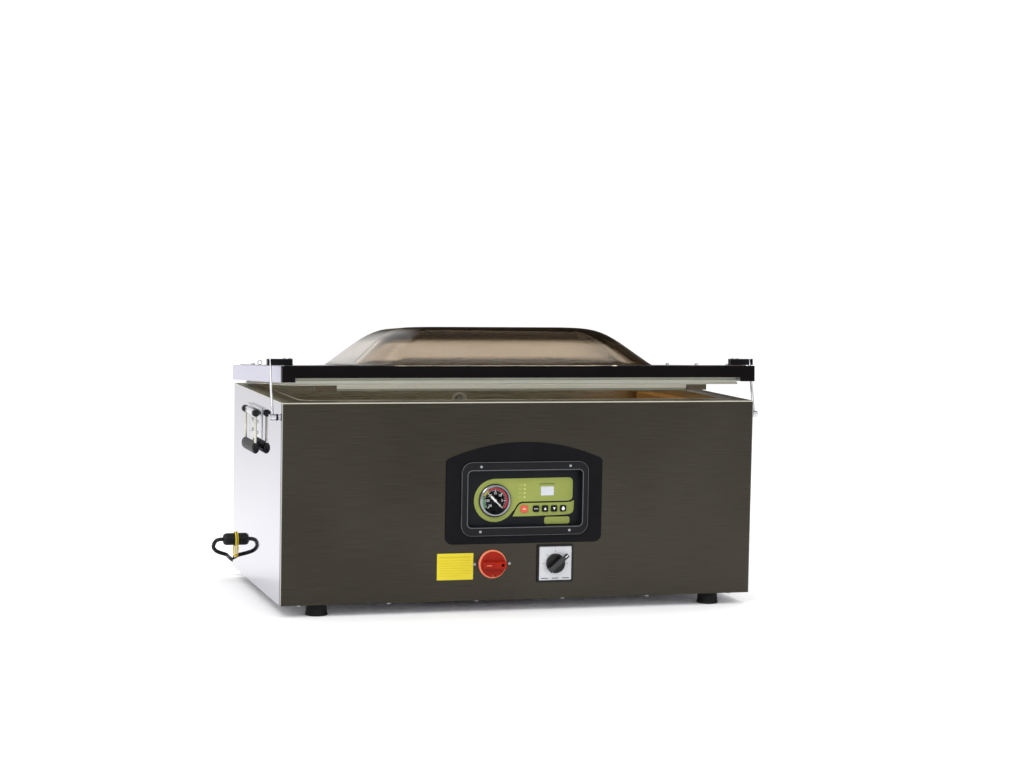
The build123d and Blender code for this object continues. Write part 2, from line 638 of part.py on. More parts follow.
FRAME_FRONT = FRONT - FRONT_LIP + FRONT_BAR_T
FRAME_BACK = BACK + LID_TAIL
REAR_BAR_BACK = HINGE_Y - EAR_R - REAR_BAR_PLAY
with BuildPart() as lid_frame:
    for side in SIDES:
        block(
            sorted((side * RIGHT, side * (RIGHT - WEB))),
            (FRAME_FRONT, FRAME_BACK),
            (LID_TOP - LID_DROP, LID_TOP),
        )
    block(
        (LEFT + WEB, RIGHT - WEB),
        (REAR_BAR_BACK - REAR_BAR_T, REAR_BAR_BACK),
        (LID_TOP - LID_DROP + 2.0, LID_TOP),
    )
save_on_lid(lid_frame, "lid_frame")

DOME_BASE_CORNER, DOME_TOP_CORNER = 70.0, 45.0
DOME_MIDDLE_Y = FRONT + DOME_FROM_FRONT
with BuildPart() as acrylic_lid:
    block(
        (LEFT + WEB, RIGHT - WEB),
        (FRAME_FRONT, REAR_BAR_BACK - REAR_BAR_T),
        (PLATE_BASE, PLATE_TOP),
    )
    with BuildSketch(Plane.XY.offset(PLATE_TOP)) as dome_foot:
        with Locations((0, DOME_MIDDLE_Y)):
            RectangleRounded(DOME_W, DOME_D, DOME_BASE_CORNER)
    with BuildSketch(Plane.XY.offset(PLATE_TOP + DOME_H)) as dome_crown:
        with Locations((0, DOME_MIDDLE_Y)):
            RectangleRounded(DOME_TOP_W, DOME_TOP_D, DOME_TOP_CORNER)
    loft([dome_foot.sketch.face(), dome_crown.sketch.face()])
    fillet(acrylic_lid.faces().sort_by(Axis.Z)[-1].edges(), 38.0)
    with BuildSketch(Plane.XY.offset(PLATE_BASE)) as dome_mouth:
        with Locations((0, DOME_MIDDLE_Y)):
            RectangleRounded(
                DOME_W - 2 * DOME_WALL, DOME_D - 2 * DOME_WALL, DOME_BASE_CORNER - DOME_WALL
            )
    with BuildSketch(Plane.XY.offset(PLATE_TOP)) as dome_neck:
        with Locations((0, DOME_MIDDLE_Y)):
            RectangleRounded(
                DOME_W - 2 * DOME_WALL, DOME_D - 2 * DOME_WALL, DOME_BASE_CORNER - DOME_WALL
            )
    with BuildSketch(Plane.XY.offset(PLATE_TOP + DOME_H - DOME_WALL)) as dome_ceiling:
        with Locations((0, DOME_MIDDLE_Y)):
            RectangleRounded(
                DOME_TOP_W - 2 * DOME_WALL, DOME_TOP_D - 2 * DOME_WALL, DOME_TOP_CORNER - DOME_WALL
            )
    with BuildPart(mode=Mode.PRIVATE) as dome_hollow:
        loft([dome_neck.sketch.face(), dome_ceiling.sketch.face()])
        fillet(dome_hollow.faces().sort_by(Axis.Z)[-1].edges(), 38.0 - DOME_WALL)
        extrude(dome_mouth.sketch.face(), amount=PLATE_T)
    add(dome_hollow.part, mode=Mode.SUBTRACT)
save_on_lid(acrylic_lid, "acrylic_lid")

RING_X = RIGHT - GASKET_INSET
RING_Y = (FRONT + GASKET_FRONT, BACK - GASKET_BACK)


def seal_ring(plane_z, width, inset, height):
    """Extrude a rounded rectangular ring that runs round the chamber's mouth."""
    size = (2 * (RING_X - inset), RING_Y[1] - RING_Y[0] - 2 * inset)
    with BuildSketch(Plane.XY.offset(plane_z)) as ring:
        with Locations((0, (RING_Y[0] + RING_Y[1]) / 2)):
            RectangleRounded(size[0], size[1], 26.0)
            RectangleRounded(size[0] - 2 * width, size[1] - 2 * width, 26.0 - width, mode=Mode.SUBTRACT)
    extrude(ring.sketch, amount=height)


with BuildPart() as gasket:
    seal_ring(TOP + GASKET_CLEAR, GASKET_W, 0.0, GASKET_LIP)
save_on_lid(gasket, "gasket")

HOLDER_BASE = TOP + GASKET_CLEAR + GASKET_LIP
with BuildPart() as gasket_holder:
    seal_ring(HOLDER_BASE, HOLDER_W, (GASKET_W - HOLDER_W) / 2, PLATE_BASE - HOLDER_BASE)
save_on_lid(gasket_holder, "gasket_holder")

with BuildPart() as counter_bar:
    block(
        (-BAR_LENGTH / 2, BAR_LENGTH / 2),
        (BAR_Y - COUNTER_W / 2, BAR_Y + COUNTER_W / 2),
        (COUNTER_BASE + STRIP_H, PLATE_BASE),
    )
save_on_lid(counter_bar, "counter_bar")

with BuildPart() as counter_strip:
    block(
        (-BAR_LENGTH / 2, BAR_LENGTH / 2),
        (BAR_Y - COUNTER_W / 2 + 2.0, BAR_Y + COUNTER_W / 2 - 2.0),
        (COUNTER_BASE, COUNTER_BASE + STRIP_H),
    )
save_on_lid(counter_strip, "counter_strip")

with BuildPart() as counter_end_blocks:
    for side in SIDES:
        block(
            sorted((side * BAR_LENGTH / 2, side * BAR_HALF)),
            (BAR_Y - COUNTER_W / 2 - 2.0, BAR_Y + COUNTER_W / 2 + 2.0),
            (COUNTER_BASE, PLATE_BASE),
        )
    fillet(counter_end_blocks.edges().filter_by(Axis.Z), 2.0)
save_on_lid(counter_end_blocks, "counter_end_blocks")

with BuildPart() as keeper_blocks:
    for side in SIDES:
        block(
            sorted((side * (RIGHT - KEEPER_IN), side * (RIGHT + KEEPER_OUT))),
            (FRONT + KEEPER_Y, FRONT + KEEPER_Y + KEEPER_D),
            (PLATE_TOP, PLATE_TOP + KEEPER_H),
        )
        rod_x = side * (RIGHT + ROD_OUT)
        block(
            (rod_x - ROD_R - NOTCH_PLAY, rod_x + ROD_R + NOTCH_PLAY),
            (FRONT + KEEPER_Y, FRONT + KEEPER_Y + NOTCH_D),
            (PLATE_TOP, PLATE_TOP + KEEPER_H),
            Mode.SUBTRACT,
        )
save_on_lid(keeper_blocks, "keeper_blocks")

with BuildPart() as lid_arms:
    for side in SIDES:
        arm_x = (side * HINGE_X - ARM_W / 2, side * HINGE_X + ARM_W / 2)
        round_x(arm_x, HINGE_Y, HINGE_Z, ARM_R)
        block(arm_x, (REAR_BAR_BACK, HINGE_Y), (HINGE_Z - ARM_R + 1.0, HINGE_Z + ARM_R))
        round_x(arm_x, HINGE_Y, HINGE_Z, PIN_R + RUNNING_FIT, Mode.SUBTRACT)
save_on_lid(lid_arms, "lid_arms")

with BuildPart() as hinge_brackets:
    for side in SIDES:
        middle = side * HINGE_X
        block(
            (middle - EAR_SPREAD - EAR_T, middle + EAR_SPREAD + EAR_T),
            (BACK, BACK + BRACKET_T),
            (TOP - 60.0, TOP - 4.0),
        )
        for ear_side in SIDES:
            ear_x = sorted((middle + ear_side * EAR_SPREAD, middle + ear_side * (EAR_SPREAD + EAR_T)))
            block(ear_x, (BACK, HINGE_Y + EAR_R), (TOP - 60.0, TOP - 16.0))
            block(ear_x, (HINGE_Y - EAR_R, HINGE_Y + EAR_R), (TOP - 16.0, HINGE_Z))
            round_x(ear_x, HINGE_Y, HINGE_Z, EAR_R)
            round_x(ear_x, HINGE_Y, HINGE_Z, PIN_R, Mode.SUBTRACT)
save(hinge_brackets, "hinge_brackets")

with BuildPart() as hinge_pins:
    for side in SIDES:
        reach = EAR_SPREAD + EAR_T + 2.0
        round_x((side * HINGE_X - reach, side * HINGE_X + reach), HINGE_Y, HINGE_Z, PIN_R)
save(hinge_pins, "hinge_pins")

with BuildPart() as lid_springs:
    for side in SIDES:
        for spring_side in SIDES:
            spring_x = sorted((
                side * HINGE_X + spring_side * (ARM_W / 2 + SPRING_GAP),
                side * HINGE_X + spring_side * (EAR_SPREAD - SPRING_GAP),
            ))
            round_x(spring_x, HINGE_Y, HINGE_Z, SPRING_R)
            round_x(spring_x, HINGE_Y, HINGE_Z, PIN_R + SCREW_PLAY, Mode.SUBTRACT)
save(lid_springs, "lid_springs")

# Hold-down rods

EYE_X = (ROD_OUT - EYE_T / 2, ROD_OUT + EYE_T / 2)
with BuildPart() as rod_pivots:
    for side in SIDES:
        round_x((side * RIGHT, side * (RIGHT + EYE_X[0] - EYE_PLAY)), *ROD_PIN, SPACER_R)
        round_x(
            (side * (RIGHT - SKIN - 3.0), side * (RIGHT + EYE_X[1] + EYE_PLAY + 3.5)),
            *ROD_PIN,
            PIVOT_R,
        )
        round_x(
            (side * (RIGHT + EYE_X[1] + EYE_PLAY), side * (RIGHT + EYE_X[1] + EYE_PLAY + 3.0)),
            *ROD_PIN,
            SPACER_R,
        )
save(rod_pivots, "rod_pivots")

for side, side_name in zip(SIDES, ("left", "right")):
    with BuildPart() as hold_down_rod:
        round_x((side * (RIGHT + EYE_X[0]), side * (RIGHT + EYE_X[1])), *ROD_PIN, EYE_R)
        with Locations(Location((side * (RIGHT + ROD_OUT), *ROD_PIN), (-ROD_LEAN, 0, 0))):
            Cylinder(ROD_R, ROD_LENGTH, align=(Align.CENTER, Align.CENTER, Align.MIN))
        round_x(
            (side * (RIGHT + EYE_X[0] - 1.0), side * (RIGHT + EYE_X[1] + 1.0)),
            *ROD_PIN,
            PIVOT_R + RUNNING_FIT,
            Mode.SUBTRACT,
        )
    save(hold_down_rod, f"hold_down_rod_{side_name}")

# Carry handles

HANDLE_PLATE_Z = BASE + HANDLE_UP
BAIL_Z = BASE + BAIL_UP
HANDLE_MID = FRONT + HANDLE_Y
LUG_Y = (HANDLE_MID - HANDLE_SPAN / 2 + BAIL_R + LUG_GAP, HANDLE_MID + HANDLE_SPAN / 2 - BAIL_R - LUG_GAP)
LUG_OUT = BAIL_OUT + 5.5
PIN_ENGAGE = 10.0
with BuildPart() as handle_plates:
    for side in SIDES:
        block(
            sorted((side * RIGHT, side * (RIGHT + SKIN))),
            (HANDLE_MID - HANDLE_PLATE[0] / 2, HANDLE_MID + HANDLE_PLATE[0] / 2),
            (HANDLE_PLATE_Z - HANDLE_PLATE[1] / 2, HANDLE_PLATE_Z + HANDLE_PLATE[1] / 2),
        )
        block(
            sorted((side * RIGHT, side * (RIGHT + LUG_OUT))),
            LUG_Y,
            (BAIL_Z - 6.0, BAIL_Z + 6.0),
        )
        round_y(side * (RIGHT + BAIL_OUT), LUG_Y, BAIL_Z, BAIL_R + RUNNING_FIT, Mode.SUBTRACT)
save(handle_plates, "handle_plates")

for side, side_name in zip(SIDES, ("left", "right")):
    with BuildPart() as bail:
        bail_x = side * (RIGHT + BAIL_OUT)
        grip_z = BAIL_Z - BAIL_DROP
        arm_y = (HANDLE_MID - HANDLE_SPAN / 2, HANDLE_MID + HANDLE_SPAN / 2)
        with BuildLine() as bail_line:
            FilletPolyline(
                (bail_x, arm_y[0] + PIN_ENGAGE, BAIL_Z),
                (bail_x, arm_y[0], BAIL_Z),
                (bail_x, arm_y[0], grip_z),
                (bail_x, arm_y[1], grip_z),
                (bail_x, arm_y[1], BAIL_Z),
                (bail_x, arm_y[1] - PIN_ENGAGE, BAIL_Z),
                radius=BAIL_R + 0.2,
            )
        bail_path = bail_line.wire()
        with BuildSketch(Plane(origin=bail_path @ 0, z_dir=bail_path % 0)):
            Circle(BAIL_R)
        sweep(path=bail_path)
        with BuildSketch(Plane(origin=(bail_x, HANDLE_MID, grip_z), x_dir=(1, 0, 0), z_dir=(0, -1, 0))):
            Ellipse(GRIP_T / 2, GRIP_H / 2)
        extrude(amount=HANDLE_SPAN / 2 + BAIL_R + 2.0, both=True)
    save(bail, f"handle_bail_{side_name}")

# Inside the cabinet

PUMP_X, PUMP_Y = -50.0, 30.0
PUMP_FLOOR = BASE + BASE_T
with BuildPart() as vacuum_pump:
    block((PUMP_X - 150.0, PUMP_X + 20.0), (PUMP_Y - 85.0, PUMP_Y + 85.0), (PUMP_FLOOR, PUMP_FLOOR + 160.0))
    fillet(vacuum_pump.edges().filter_by(Axis.Y), 14.0)
    round_x((PUMP_X + 20.0, PUMP_X + 200.0), PUMP_Y, PUMP_FLOOR + 80.0, 70.0)
    block((PUMP_X + 50.0, PUMP_X + 170.0), (PUMP_Y - 55.0, PUMP_Y + 55.0), (PUMP_FLOOR, PUMP_FLOOR + 30.0))
    round_z(PUMP_X - 120.0, PUMP_Y, (PUMP_FLOOR + 160.0, PUMP_FLOOR + 168.0), 12.0)
save(vacuum_pump, "vacuum_pump")

HOSE_D = 20.0
VALVE_X, VALVE_Y = PUMP_X - 230.0, PUMP_Y + 40.0
VALVE_TOP = PUMP_FLOOR + 92.0
HOSE_TOP = PUMP_FLOOR + 150.0
with BuildPart() as vacuum_hose:
    with BuildLine() as hose_line:
        FilletPolyline(
            (PUMP_X - 150.0, PUMP_Y, PUMP_FLOOR + 120.0),
            (PUMP_X - 195.0, PUMP_Y, PUMP_FLOOR + 120.0),
            (VALVE_X, VALVE_Y, HOSE_TOP),
            (VALVE_X, VALVE_Y, VALVE_TOP),
            radius=14.0,
        )
    hose_path = hose_line.wire()
    with BuildSketch(Plane(origin=hose_path @ 0, z_dir=hose_path % 0)):
        Circle(HOSE_D / 2)
    sweep(path=hose_path)
save(vacuum_hose, "vacuum_hose")

with BuildPart() as solenoid_valve:
    block((VALVE_X - 22.0, VALVE_X + 22.0), (VALVE_Y - 25.0, VALVE_Y + 25.0), (PUMP_FLOOR, VALVE_TOP))
save(solenoid_valve, "solenoid_valve")

with BuildPart() as transformer:
    transformer_x = RIGHT - 170.0
    block((transformer_x - 60.0, transformer_x + 60.0), (-50.0, 50.0), (PUMP_FLOOR, PUMP_FLOOR + 100.0))
    block((transformer_x - 38.0, transformer_x + 38.0), (-72.0, 72.0), (PUMP_FLOOR + 12.0, PUMP_FLOOR + 88.0))
save(transformer, "transformer")

with BuildPart() as control_board:
    block((PANEL_X - 20.0, PANEL_X + SLEEVE_W / 2), (OVERLAY_Y + 12.0, OVERLAY_Y + 14.0), (WINDOW_Z - 45.0, WINDOW_Z + 45.0))
save(control_board, "control_board")

# Mains lead

GLAND_TIP = LEFT - GLAND_LENGTH
with BuildPart() as cord_gland:
    round_x((LEFT - 4.0, LEFT), GLAND_Y, GLAND_Z, 14.0)
    round_x((LEFT, LEFT + SKIN + 6.0), GLAND_Y, GLAND_Z, GLAND_SHANK_R)
    with BuildSketch(Plane.XY.offset(GLAND_Z)) as gland_half:
        with BuildLine() as gland_outline:
            Polyline(
                (LEFT - 4.0, GLAND_Y),
                (LEFT - 4.0, GLAND_Y + 12.0),
                (LEFT - 18.0, GLAND_Y + 11.0),
                (GLAND_TIP, GLAND_Y + CORD_R + 2.5),
                (GLAND_TIP, GLAND_Y),
                close=True,
            )
        make_face()
    revolve(axis=Axis((0, GLAND_Y, GLAND_Z), (1, 0, 0)))
save(cord_gland, "cord_gland")

CORD_ROUTE = [
    (-491.0, 221.0, 83.0),
    (-503.0, 221.0, 83.0),
    (-513.0, 221.0, 73.0),
    (-513.0, 221.5, 60.0),
    (-503.0, 222.5, 50.0),
    (-488.0, 226.0, 46.0),
    (-479.0, 241.0, 44.0),
    (-477.0, 262.0, 39.0),
    (-464.0, 279.0, 31.0),
    (-444.0, 288.5, 21.0),
    (-418.0, 291.0, 12.0),
    (-387.0, 290.6, 6.0),
    (-352.0, 291.4, 4.0),
    (-315.0, 291.0, 4.0),
    (-284.0, 291.2, 4.0),
]
TAIL_ROUTE = [
    (-245.0, 293.0, 12.0),
    (-229.0, 293.4, 11.4),
    (-211.0, 295.6, 10.4),
    (-192.0, 296.6, 10.0),
]


def cord_tube(route, name):
    """Sweep the lead's round section along straight runs joined by arcs, and print the arcs' radii."""
    points = [Vector(*point) for point in route]
    radii = []
    for before, at, after in zip(points, points[1:], points[2:]):
        turn = radians((at - before).get_angle(after - at))
        radii.append(0.45 * min((at - before).length, (after - at).length) / tan(turn / 2))
    print(name, "arc radii", [round(radius, 1) for radius in radii])
    with BuildLine() as centre_line:
        FilletPolyline(*points, radius=radii)
    path = centre_line.wire()
    with BuildSketch(Plane(origin=path @ 0, z_dir=path % 0)) as section:
        Circle(CORD_R)
    sweep(section.sketch, path=path)
    print(name, "length", round(path.length, 1), "section times length", round(pi * CORD_R**2 * path.length))
    return path.length


with BuildPart() as power_cord:
    lead_length = cord_tube(CORD_ROUTE, "lead")
    lead_volume = power_cord.part.volume
with BuildPart() as cord_tail:
    tail_length = cord_tube(TAIL_ROUTE, "tail")
print("volumes", round(lead_volume), round(cord_tail.part.volume))
print("whole cord", round(lead_length + tail_length + COIL_TURNS * 2 * pi * COIL_MEAN))
with BuildPart() as cord_pieces:
    add(power_cord.part)
    add(cord_tail.part)
save(cord_pieces, "power_cord")

with BuildPart() as cord_coil:
    coil_half = COIL_WIDE * CORD_D / 2 + SCREW_PLAY
    with BuildSketch(Plane.XY) as coil_ring:
        with Locations(COIL_AT):
            Circle(COIL_MEAN + coil_half)
            Circle(COIL_MEAN - coil_half, mode=Mode.SUBTRACT)
    extrude(amount=COIL_HIGH * CORD_D)
save(cord_coil, "cord_coil")

with BuildPart() as mains_plug:
    plug_at = TAIL_ROUTE[-1]
    relief = 22.0
    with Locations(Location((plug_at[0] + relief / 2, plug_at[1], plug_at[2]), (0, 90, 0))):
        Cone(CORD_R + 1.5, 8.5, relief)
    plug_x = (plug_at[0] + relief, plug_at[0] + relief + PLUG_BODY[0])
    block(
        plug_x,
        (plug_at[1] - PLUG_BODY[1] / 2, plug_at[1] + PLUG_BODY[1] / 2),
        (plug_at[2] - PLUG_BODY[2] / 2, plug_at[2] + PLUG_BODY[2] / 2),
    )
    for blade_side in SIDES:
        blade_y = plug_at[1] + blade_side * 6.3
        block((plug_x[1], plug_x[1] + 17.0), (blade_y - 0.8, blade_y + 0.8), (plug_at[2] - 5.5, plug_at[2] + 0.8))
    round_x((plug_x[1], plug_x[1] + 20.0), plug_at[1], plug_at[2] + 5.2, 2.4)
save(mains_plug, "mains_plug")

TIE_X = LEFT - 2.5
TIE_HALF = 14.2
TIE_Z = (47.0, GLAND_Z + TIE_HALF)
with BuildPart() as cord_tie:
    with BuildSketch(Plane.YZ.offset(TIE_X - TIE_W / 2)) as tie_loop:
        with Locations((GLAND_Y, (TIE_Z[0] + TIE_Z[1]) / 2)):
            tie_height = TIE_Z[1] - TIE_Z[0] + 2 * TIE_T
            SlotOverall(tie_height, 2 * (TIE_HALF + TIE_T), rotation=90)
            SlotOverall(tie_height - 2 * TIE_T, 2 * TIE_HALF, rotation=90, mode=Mode.SUBTRACT)
    extrude(amount=TIE_W)
save(cord_tie, "cord_tie")
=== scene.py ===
"""Looks of a chamber vacuum sealer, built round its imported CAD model. Lengths are in metres."""
import json
import logging
from dataclasses import dataclass, field
from enum import Enum
from math import cos, pi, radians, sin
from typing import Iterable, Sequence

import bmesh
import bpy
from mathutils import Matrix, Vector


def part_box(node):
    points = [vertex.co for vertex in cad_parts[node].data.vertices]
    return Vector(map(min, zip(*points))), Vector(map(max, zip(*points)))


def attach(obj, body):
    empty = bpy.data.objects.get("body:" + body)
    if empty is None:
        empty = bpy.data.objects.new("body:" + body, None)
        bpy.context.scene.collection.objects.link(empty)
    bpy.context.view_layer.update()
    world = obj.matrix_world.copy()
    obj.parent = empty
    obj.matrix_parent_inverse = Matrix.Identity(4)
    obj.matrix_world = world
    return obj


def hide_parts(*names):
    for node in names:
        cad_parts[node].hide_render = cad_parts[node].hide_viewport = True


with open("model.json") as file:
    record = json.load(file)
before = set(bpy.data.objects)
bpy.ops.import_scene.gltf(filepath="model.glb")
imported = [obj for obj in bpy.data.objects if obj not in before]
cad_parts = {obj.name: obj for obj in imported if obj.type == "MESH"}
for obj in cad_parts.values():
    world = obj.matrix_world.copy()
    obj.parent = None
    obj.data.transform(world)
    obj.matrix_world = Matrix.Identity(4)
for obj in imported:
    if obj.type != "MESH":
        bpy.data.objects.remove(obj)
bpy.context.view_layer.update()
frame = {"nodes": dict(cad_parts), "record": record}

logging.basicConfig(level=logging.INFO, format="%(message)s")
LOG = logging.getLogger("vacuum_sealer")

Point2 = tuple[float, float]
Point3 = tuple[float, float, float]
Colour = tuple[float, float, float, float]
Tree = bpy.types.NodeTree
Socket = bpy.types.NodeSocket
SIDES = (-1, 1)
WORDS = {-1: "left", 1: "right"}
MIX_FIRST, MIX_SECOND, MIX_RESULT = 6, 7, 2


class Facing(Enum):
    """The way a flat outline's front looks."""

    OPERATOR = Matrix(((1, 0, 0, 0), (0, 0, -1, 0), (0, 1, 0, 0), (0, 0, 0, 1)))
    UP = Matrix.Identity(4)


class Axle(Enum):
    """The direction a turned piece's axis takes."""

    X = Matrix.Rotation(radians(90), 4, "Y")
    MINUS_X = Matrix.Rotation(radians(-90), 4, "Y")
    MINUS_Y = Matrix.Rotation(radians(90), 4, "X")
    Z = Matrix.Identity(4)


def tone(code: str) -> Colour:
    """Turn a display colour such as "a08050" into the linear colour that shaders take."""
    parts = [int(code[i : i + 2], 16) / 255 for i in (0, 2, 4)]
    linear = [p / 12.92 if p <= 0.04045 else ((p + 0.055) / 1.055) ** 2.4 for p in parts]
    return (*linear, 1.0)


def add_node(
    tree: Tree, kind: str, settings: dict[str, object], inputs: dict[str | int, object]
) -> bpy.types.Node:
    """Add a shader node.

    Args:
        tree: The tree to add to.
        kind: The node's type, without its leading "ShaderNode".
        settings: The node's own settings.
        inputs: A value or a socket for each input, by its name or number.

    Returns:
        The node.
    """
    node = tree.nodes.new(f"ShaderNode{kind}")
    for name, value in settings.items():
        setattr(node, name, value)
    for key, value in inputs.items():
        if isinstance(value, Socket):
            tree.links.new(value, node.inputs[key])
        else:
            node.inputs[key].default_value = value
    return node


def ramp(tree: Tree, value: Socket, start: Point2, result: Point2 = (0.0, 1.0), soft: bool = True) -> Socket:
    """Map a range of a value onto another range.

    Args:
        tree: The tree to add to.
        value: The value.
        start: Low and high end of the range it is taken from.
        result: Low and high end of the result.
        soft: Whether the ends are eased.

    Returns:
        The mapped value.
    """
    settings = {"interpolation_type": "SMOOTHSTEP" if soft else "LINEAR"}
    ends = {"From Min": start[0], "From Max": start[1], "To Min": result[0], "To Max": result[1]}
    return add_node(tree, "MapRange", settings, {"Value": value, **ends}).outputs["Result"]


def blend(tree: Tree, amount: Socket, first: Colour | Socket, second: Colour | Socket) -> Socket:
    """Mix two colours.

    Args:
        tree: The tree to add to.
        amount: 0 gives the first, 1 the second.
        first: A colour or a socket that gives one.
        second: A colour or a socket that gives one.

    Returns:
        The mixed colour.
    """
    inputs = {"Factor": amount, MIX_FIRST: first, MIX_SECOND: second}
    return add_node(tree, "Mix", {"data_type": "RGBA"}, inputs).outputs[MIX_RESULT]


# Finishes


@dataclass(frozen=True)
class Finish:
    """A surface finish: two colours mixed by soft patches and fine grain, with rough and relief of its own.

    Attributes:
        name: Material name.
        light: Display colour of the lighter parts.
        dark: Display colour of the darker parts.
        metallic: 0 for plastics and rubber, 1 for bare metal.
        rough: Lowest and highest roughness.
        grain: Noise cells per metre along X, Y and Z; unequal numbers draw a brushed grain.
        patches: Size of the large soft patches, in cells per metre.
        relief: Height of the grain, in metres.
        coat: Weight of a clear glossy coat.
        transmission: Share of light that passes through.
        ior: Index of refraction.
        subsurface: Weight of light scattered under the skin.
        specular: Strength of the plain reflection, 0.5 for most plastics.
    """

    name: str
    light: str
    dark: str
    metallic: float = 0.0
    rough: Point2 = (0.4, 0.5)
    grain: Point3 = (900.0, 900.0, 900.0)
    patches: float = 9.0
    relief: float = 0.00002
    coat: float = 0.0
    transmission: float = 0.0
    ior: float = 1.45
    subsurface: float = 0.0
    specular: float = 0.5

    def start(self) -> tuple[bpy.types.Material, Tree, bpy.types.Node]:
        """Make the material with its fixed values set on the shader's own sockets.

        Returns:
            The material, its node tree and its principled shader.
        """
        material = bpy.data.materials.new(f"{self.name}_finish")
        material.use_nodes = True
        tree = material.node_tree
        shader = tree.nodes["Principled BSDF"]
        for socket, value in (
            ("Metallic", self.metallic),
            ("Coat Weight", self.coat),
            ("Coat Roughness", 0.08),
            ("Transmission Weight", self.transmission),
            ("IOR", self.ior),
            ("Subsurface Weight", self.subsurface),
            ("Subsurface Scale", 0.004),
            ("Specular IOR Level", self.specular),
        ):
            shader.inputs[socket].default_value = value
        return material, tree, shader

    def noise(self, tree: Tree, scale: Point3, detail: float) -> Socket:
        """Add a noise whose cells have the given sizes along the object's axes.

        Args:
            tree: The tree to add to.
            scale: Cells per metre along X, Y and Z.
            detail: Octaves of finer noise.

        Returns:
            The noise's value socket.
        """
        where = add_node(tree, "TexCoord", {}, {}).outputs["Object"]
        fit = add_node(tree, "Mapping", {}, {"Vector": where, "Scale": scale}).outputs["Vector"]
        return add_node(tree, "TexNoise", {}, {"Vector": fit, "Scale": 1.0, "Detail": detail}).outputs["Fac"]

    def spread(self, tree: Tree, value: Socket, result: Point2 = (0.0, 1.0)) -> Socket:
        """Stretch a noise's middle range to run over the result's."""
        return ramp(tree, value, (0.3, 0.7), result, False)

    def colour(self, tree: Tree, patch: Socket, fine: Socket) -> Socket:
        """Colour the surface by patches and grain.

        Args:
            tree: The tree to add to.
            patch: The patch noise.
            fine: The grain noise.

        Returns:
            The base colour.
        """
        half = add_node(tree, "Math", {"operation": "MULTIPLY"}, {0: fine, 1: 0.5}).outputs[0]
        both = add_node(tree, "Math", {"operation": "MULTIPLY_ADD"}, {0: patch, 1: 0.5, 2: half}).outputs[0]
        return blend(tree, self.spread(tree, both), tone(self.dark), tone(self.light))

    def material(self) -> bpy.types.Material:
        """Build the finish, or return it if it is built already.

        Returns:
            The material.
        """
        if f"{self.name}_finish" in bpy.data.materials:
            return bpy.data.materials[f"{self.name}_finish"]
        material, tree, shader = self.start()
        fine = self.noise(tree, self.grain, 3.0)
        patch = self.noise(tree, (self.patches,) * 3, 2.0)
        bump = add_node(tree, "Bump", {}, {"Height": fine, "Strength": 0.6, "Distance": self.relief})
        tree.links.new(self.colour(tree, patch, fine), shader.inputs["Base Color"])
        tree.links.new(self.spread(tree, fine, self.rough), shader.inputs["Roughness"])
        tree.links.new(bump.outputs["Normal"], shader.inputs["Normal"])
        return material


@dataclass(frozen=True)
class SteelWithPaintedEdgeHighlight(Finish):
    """Brushed sheet with a painted highlight: a brighter tone on its folded edges, where they turn away from
    the front and the back.
    """

    # Display colour of the painted highlight on the folded edges.
    edge: str = "d8d6d0"

    def colour(self, tree: Tree, patch: Socket, fine: Socket) -> Socket:
        """Colour the sheet, with the bright tone of a painted highlight where it doesn't face the front or
        the back.

        Args:
            tree: The tree to add to.
            patch: The patch noise.
            fine: The grain noise.

        Returns:
            The base colour.
        """
        base = super().colour(tree, patch, fine)
        normal = add_node(tree, "NewGeometry", {}, {}).outputs["Normal"]
        depth = add_node(tree, "SeparateXYZ", {}, {"Vector": normal}).outputs["Y"]
        size = add_node(tree, "Math", {"operation": "ABSOLUTE"}, {0: depth}).outputs[0]
        # Faces that turn sideways get the painted highlight.
        return blend(tree, ramp(tree, size, (0.55, 0.9), soft=False), tone(self.edge), base)


@dataclass(frozen=True)
class Woven(Finish):
    """Cloth or tape of crossing threads.

    Attributes:
        threads: Threads per metre.
    """

    threads: float = 1400.0

    def colour(self, tree: Tree, patch: Socket, fine: Socket) -> Socket:
        """Colour the cloth by its threads over the patches.

        Args:
            tree: The tree to add to.
            patch: The patch noise.
            fine: The grain noise.

        Returns:
            The base colour.
        """
        base = super().colour(tree, patch, fine)
        where = add_node(tree, "TexCoord", {}, {}).outputs["Object"]
        look = {"Vector": where, "Scale": self.threads, "Color1": (1, 1, 1, 1), "Color2": (0, 0, 0, 1)}
        checks = add_node(tree, "TexChecker", {}, look).outputs["Fac"]
        faint = add_node(tree, "Math", {"operation": "MULTIPLY"}, {0: checks, 1: 0.35}).outputs[0]
        return blend(tree, faint, base, tone(self.dark))


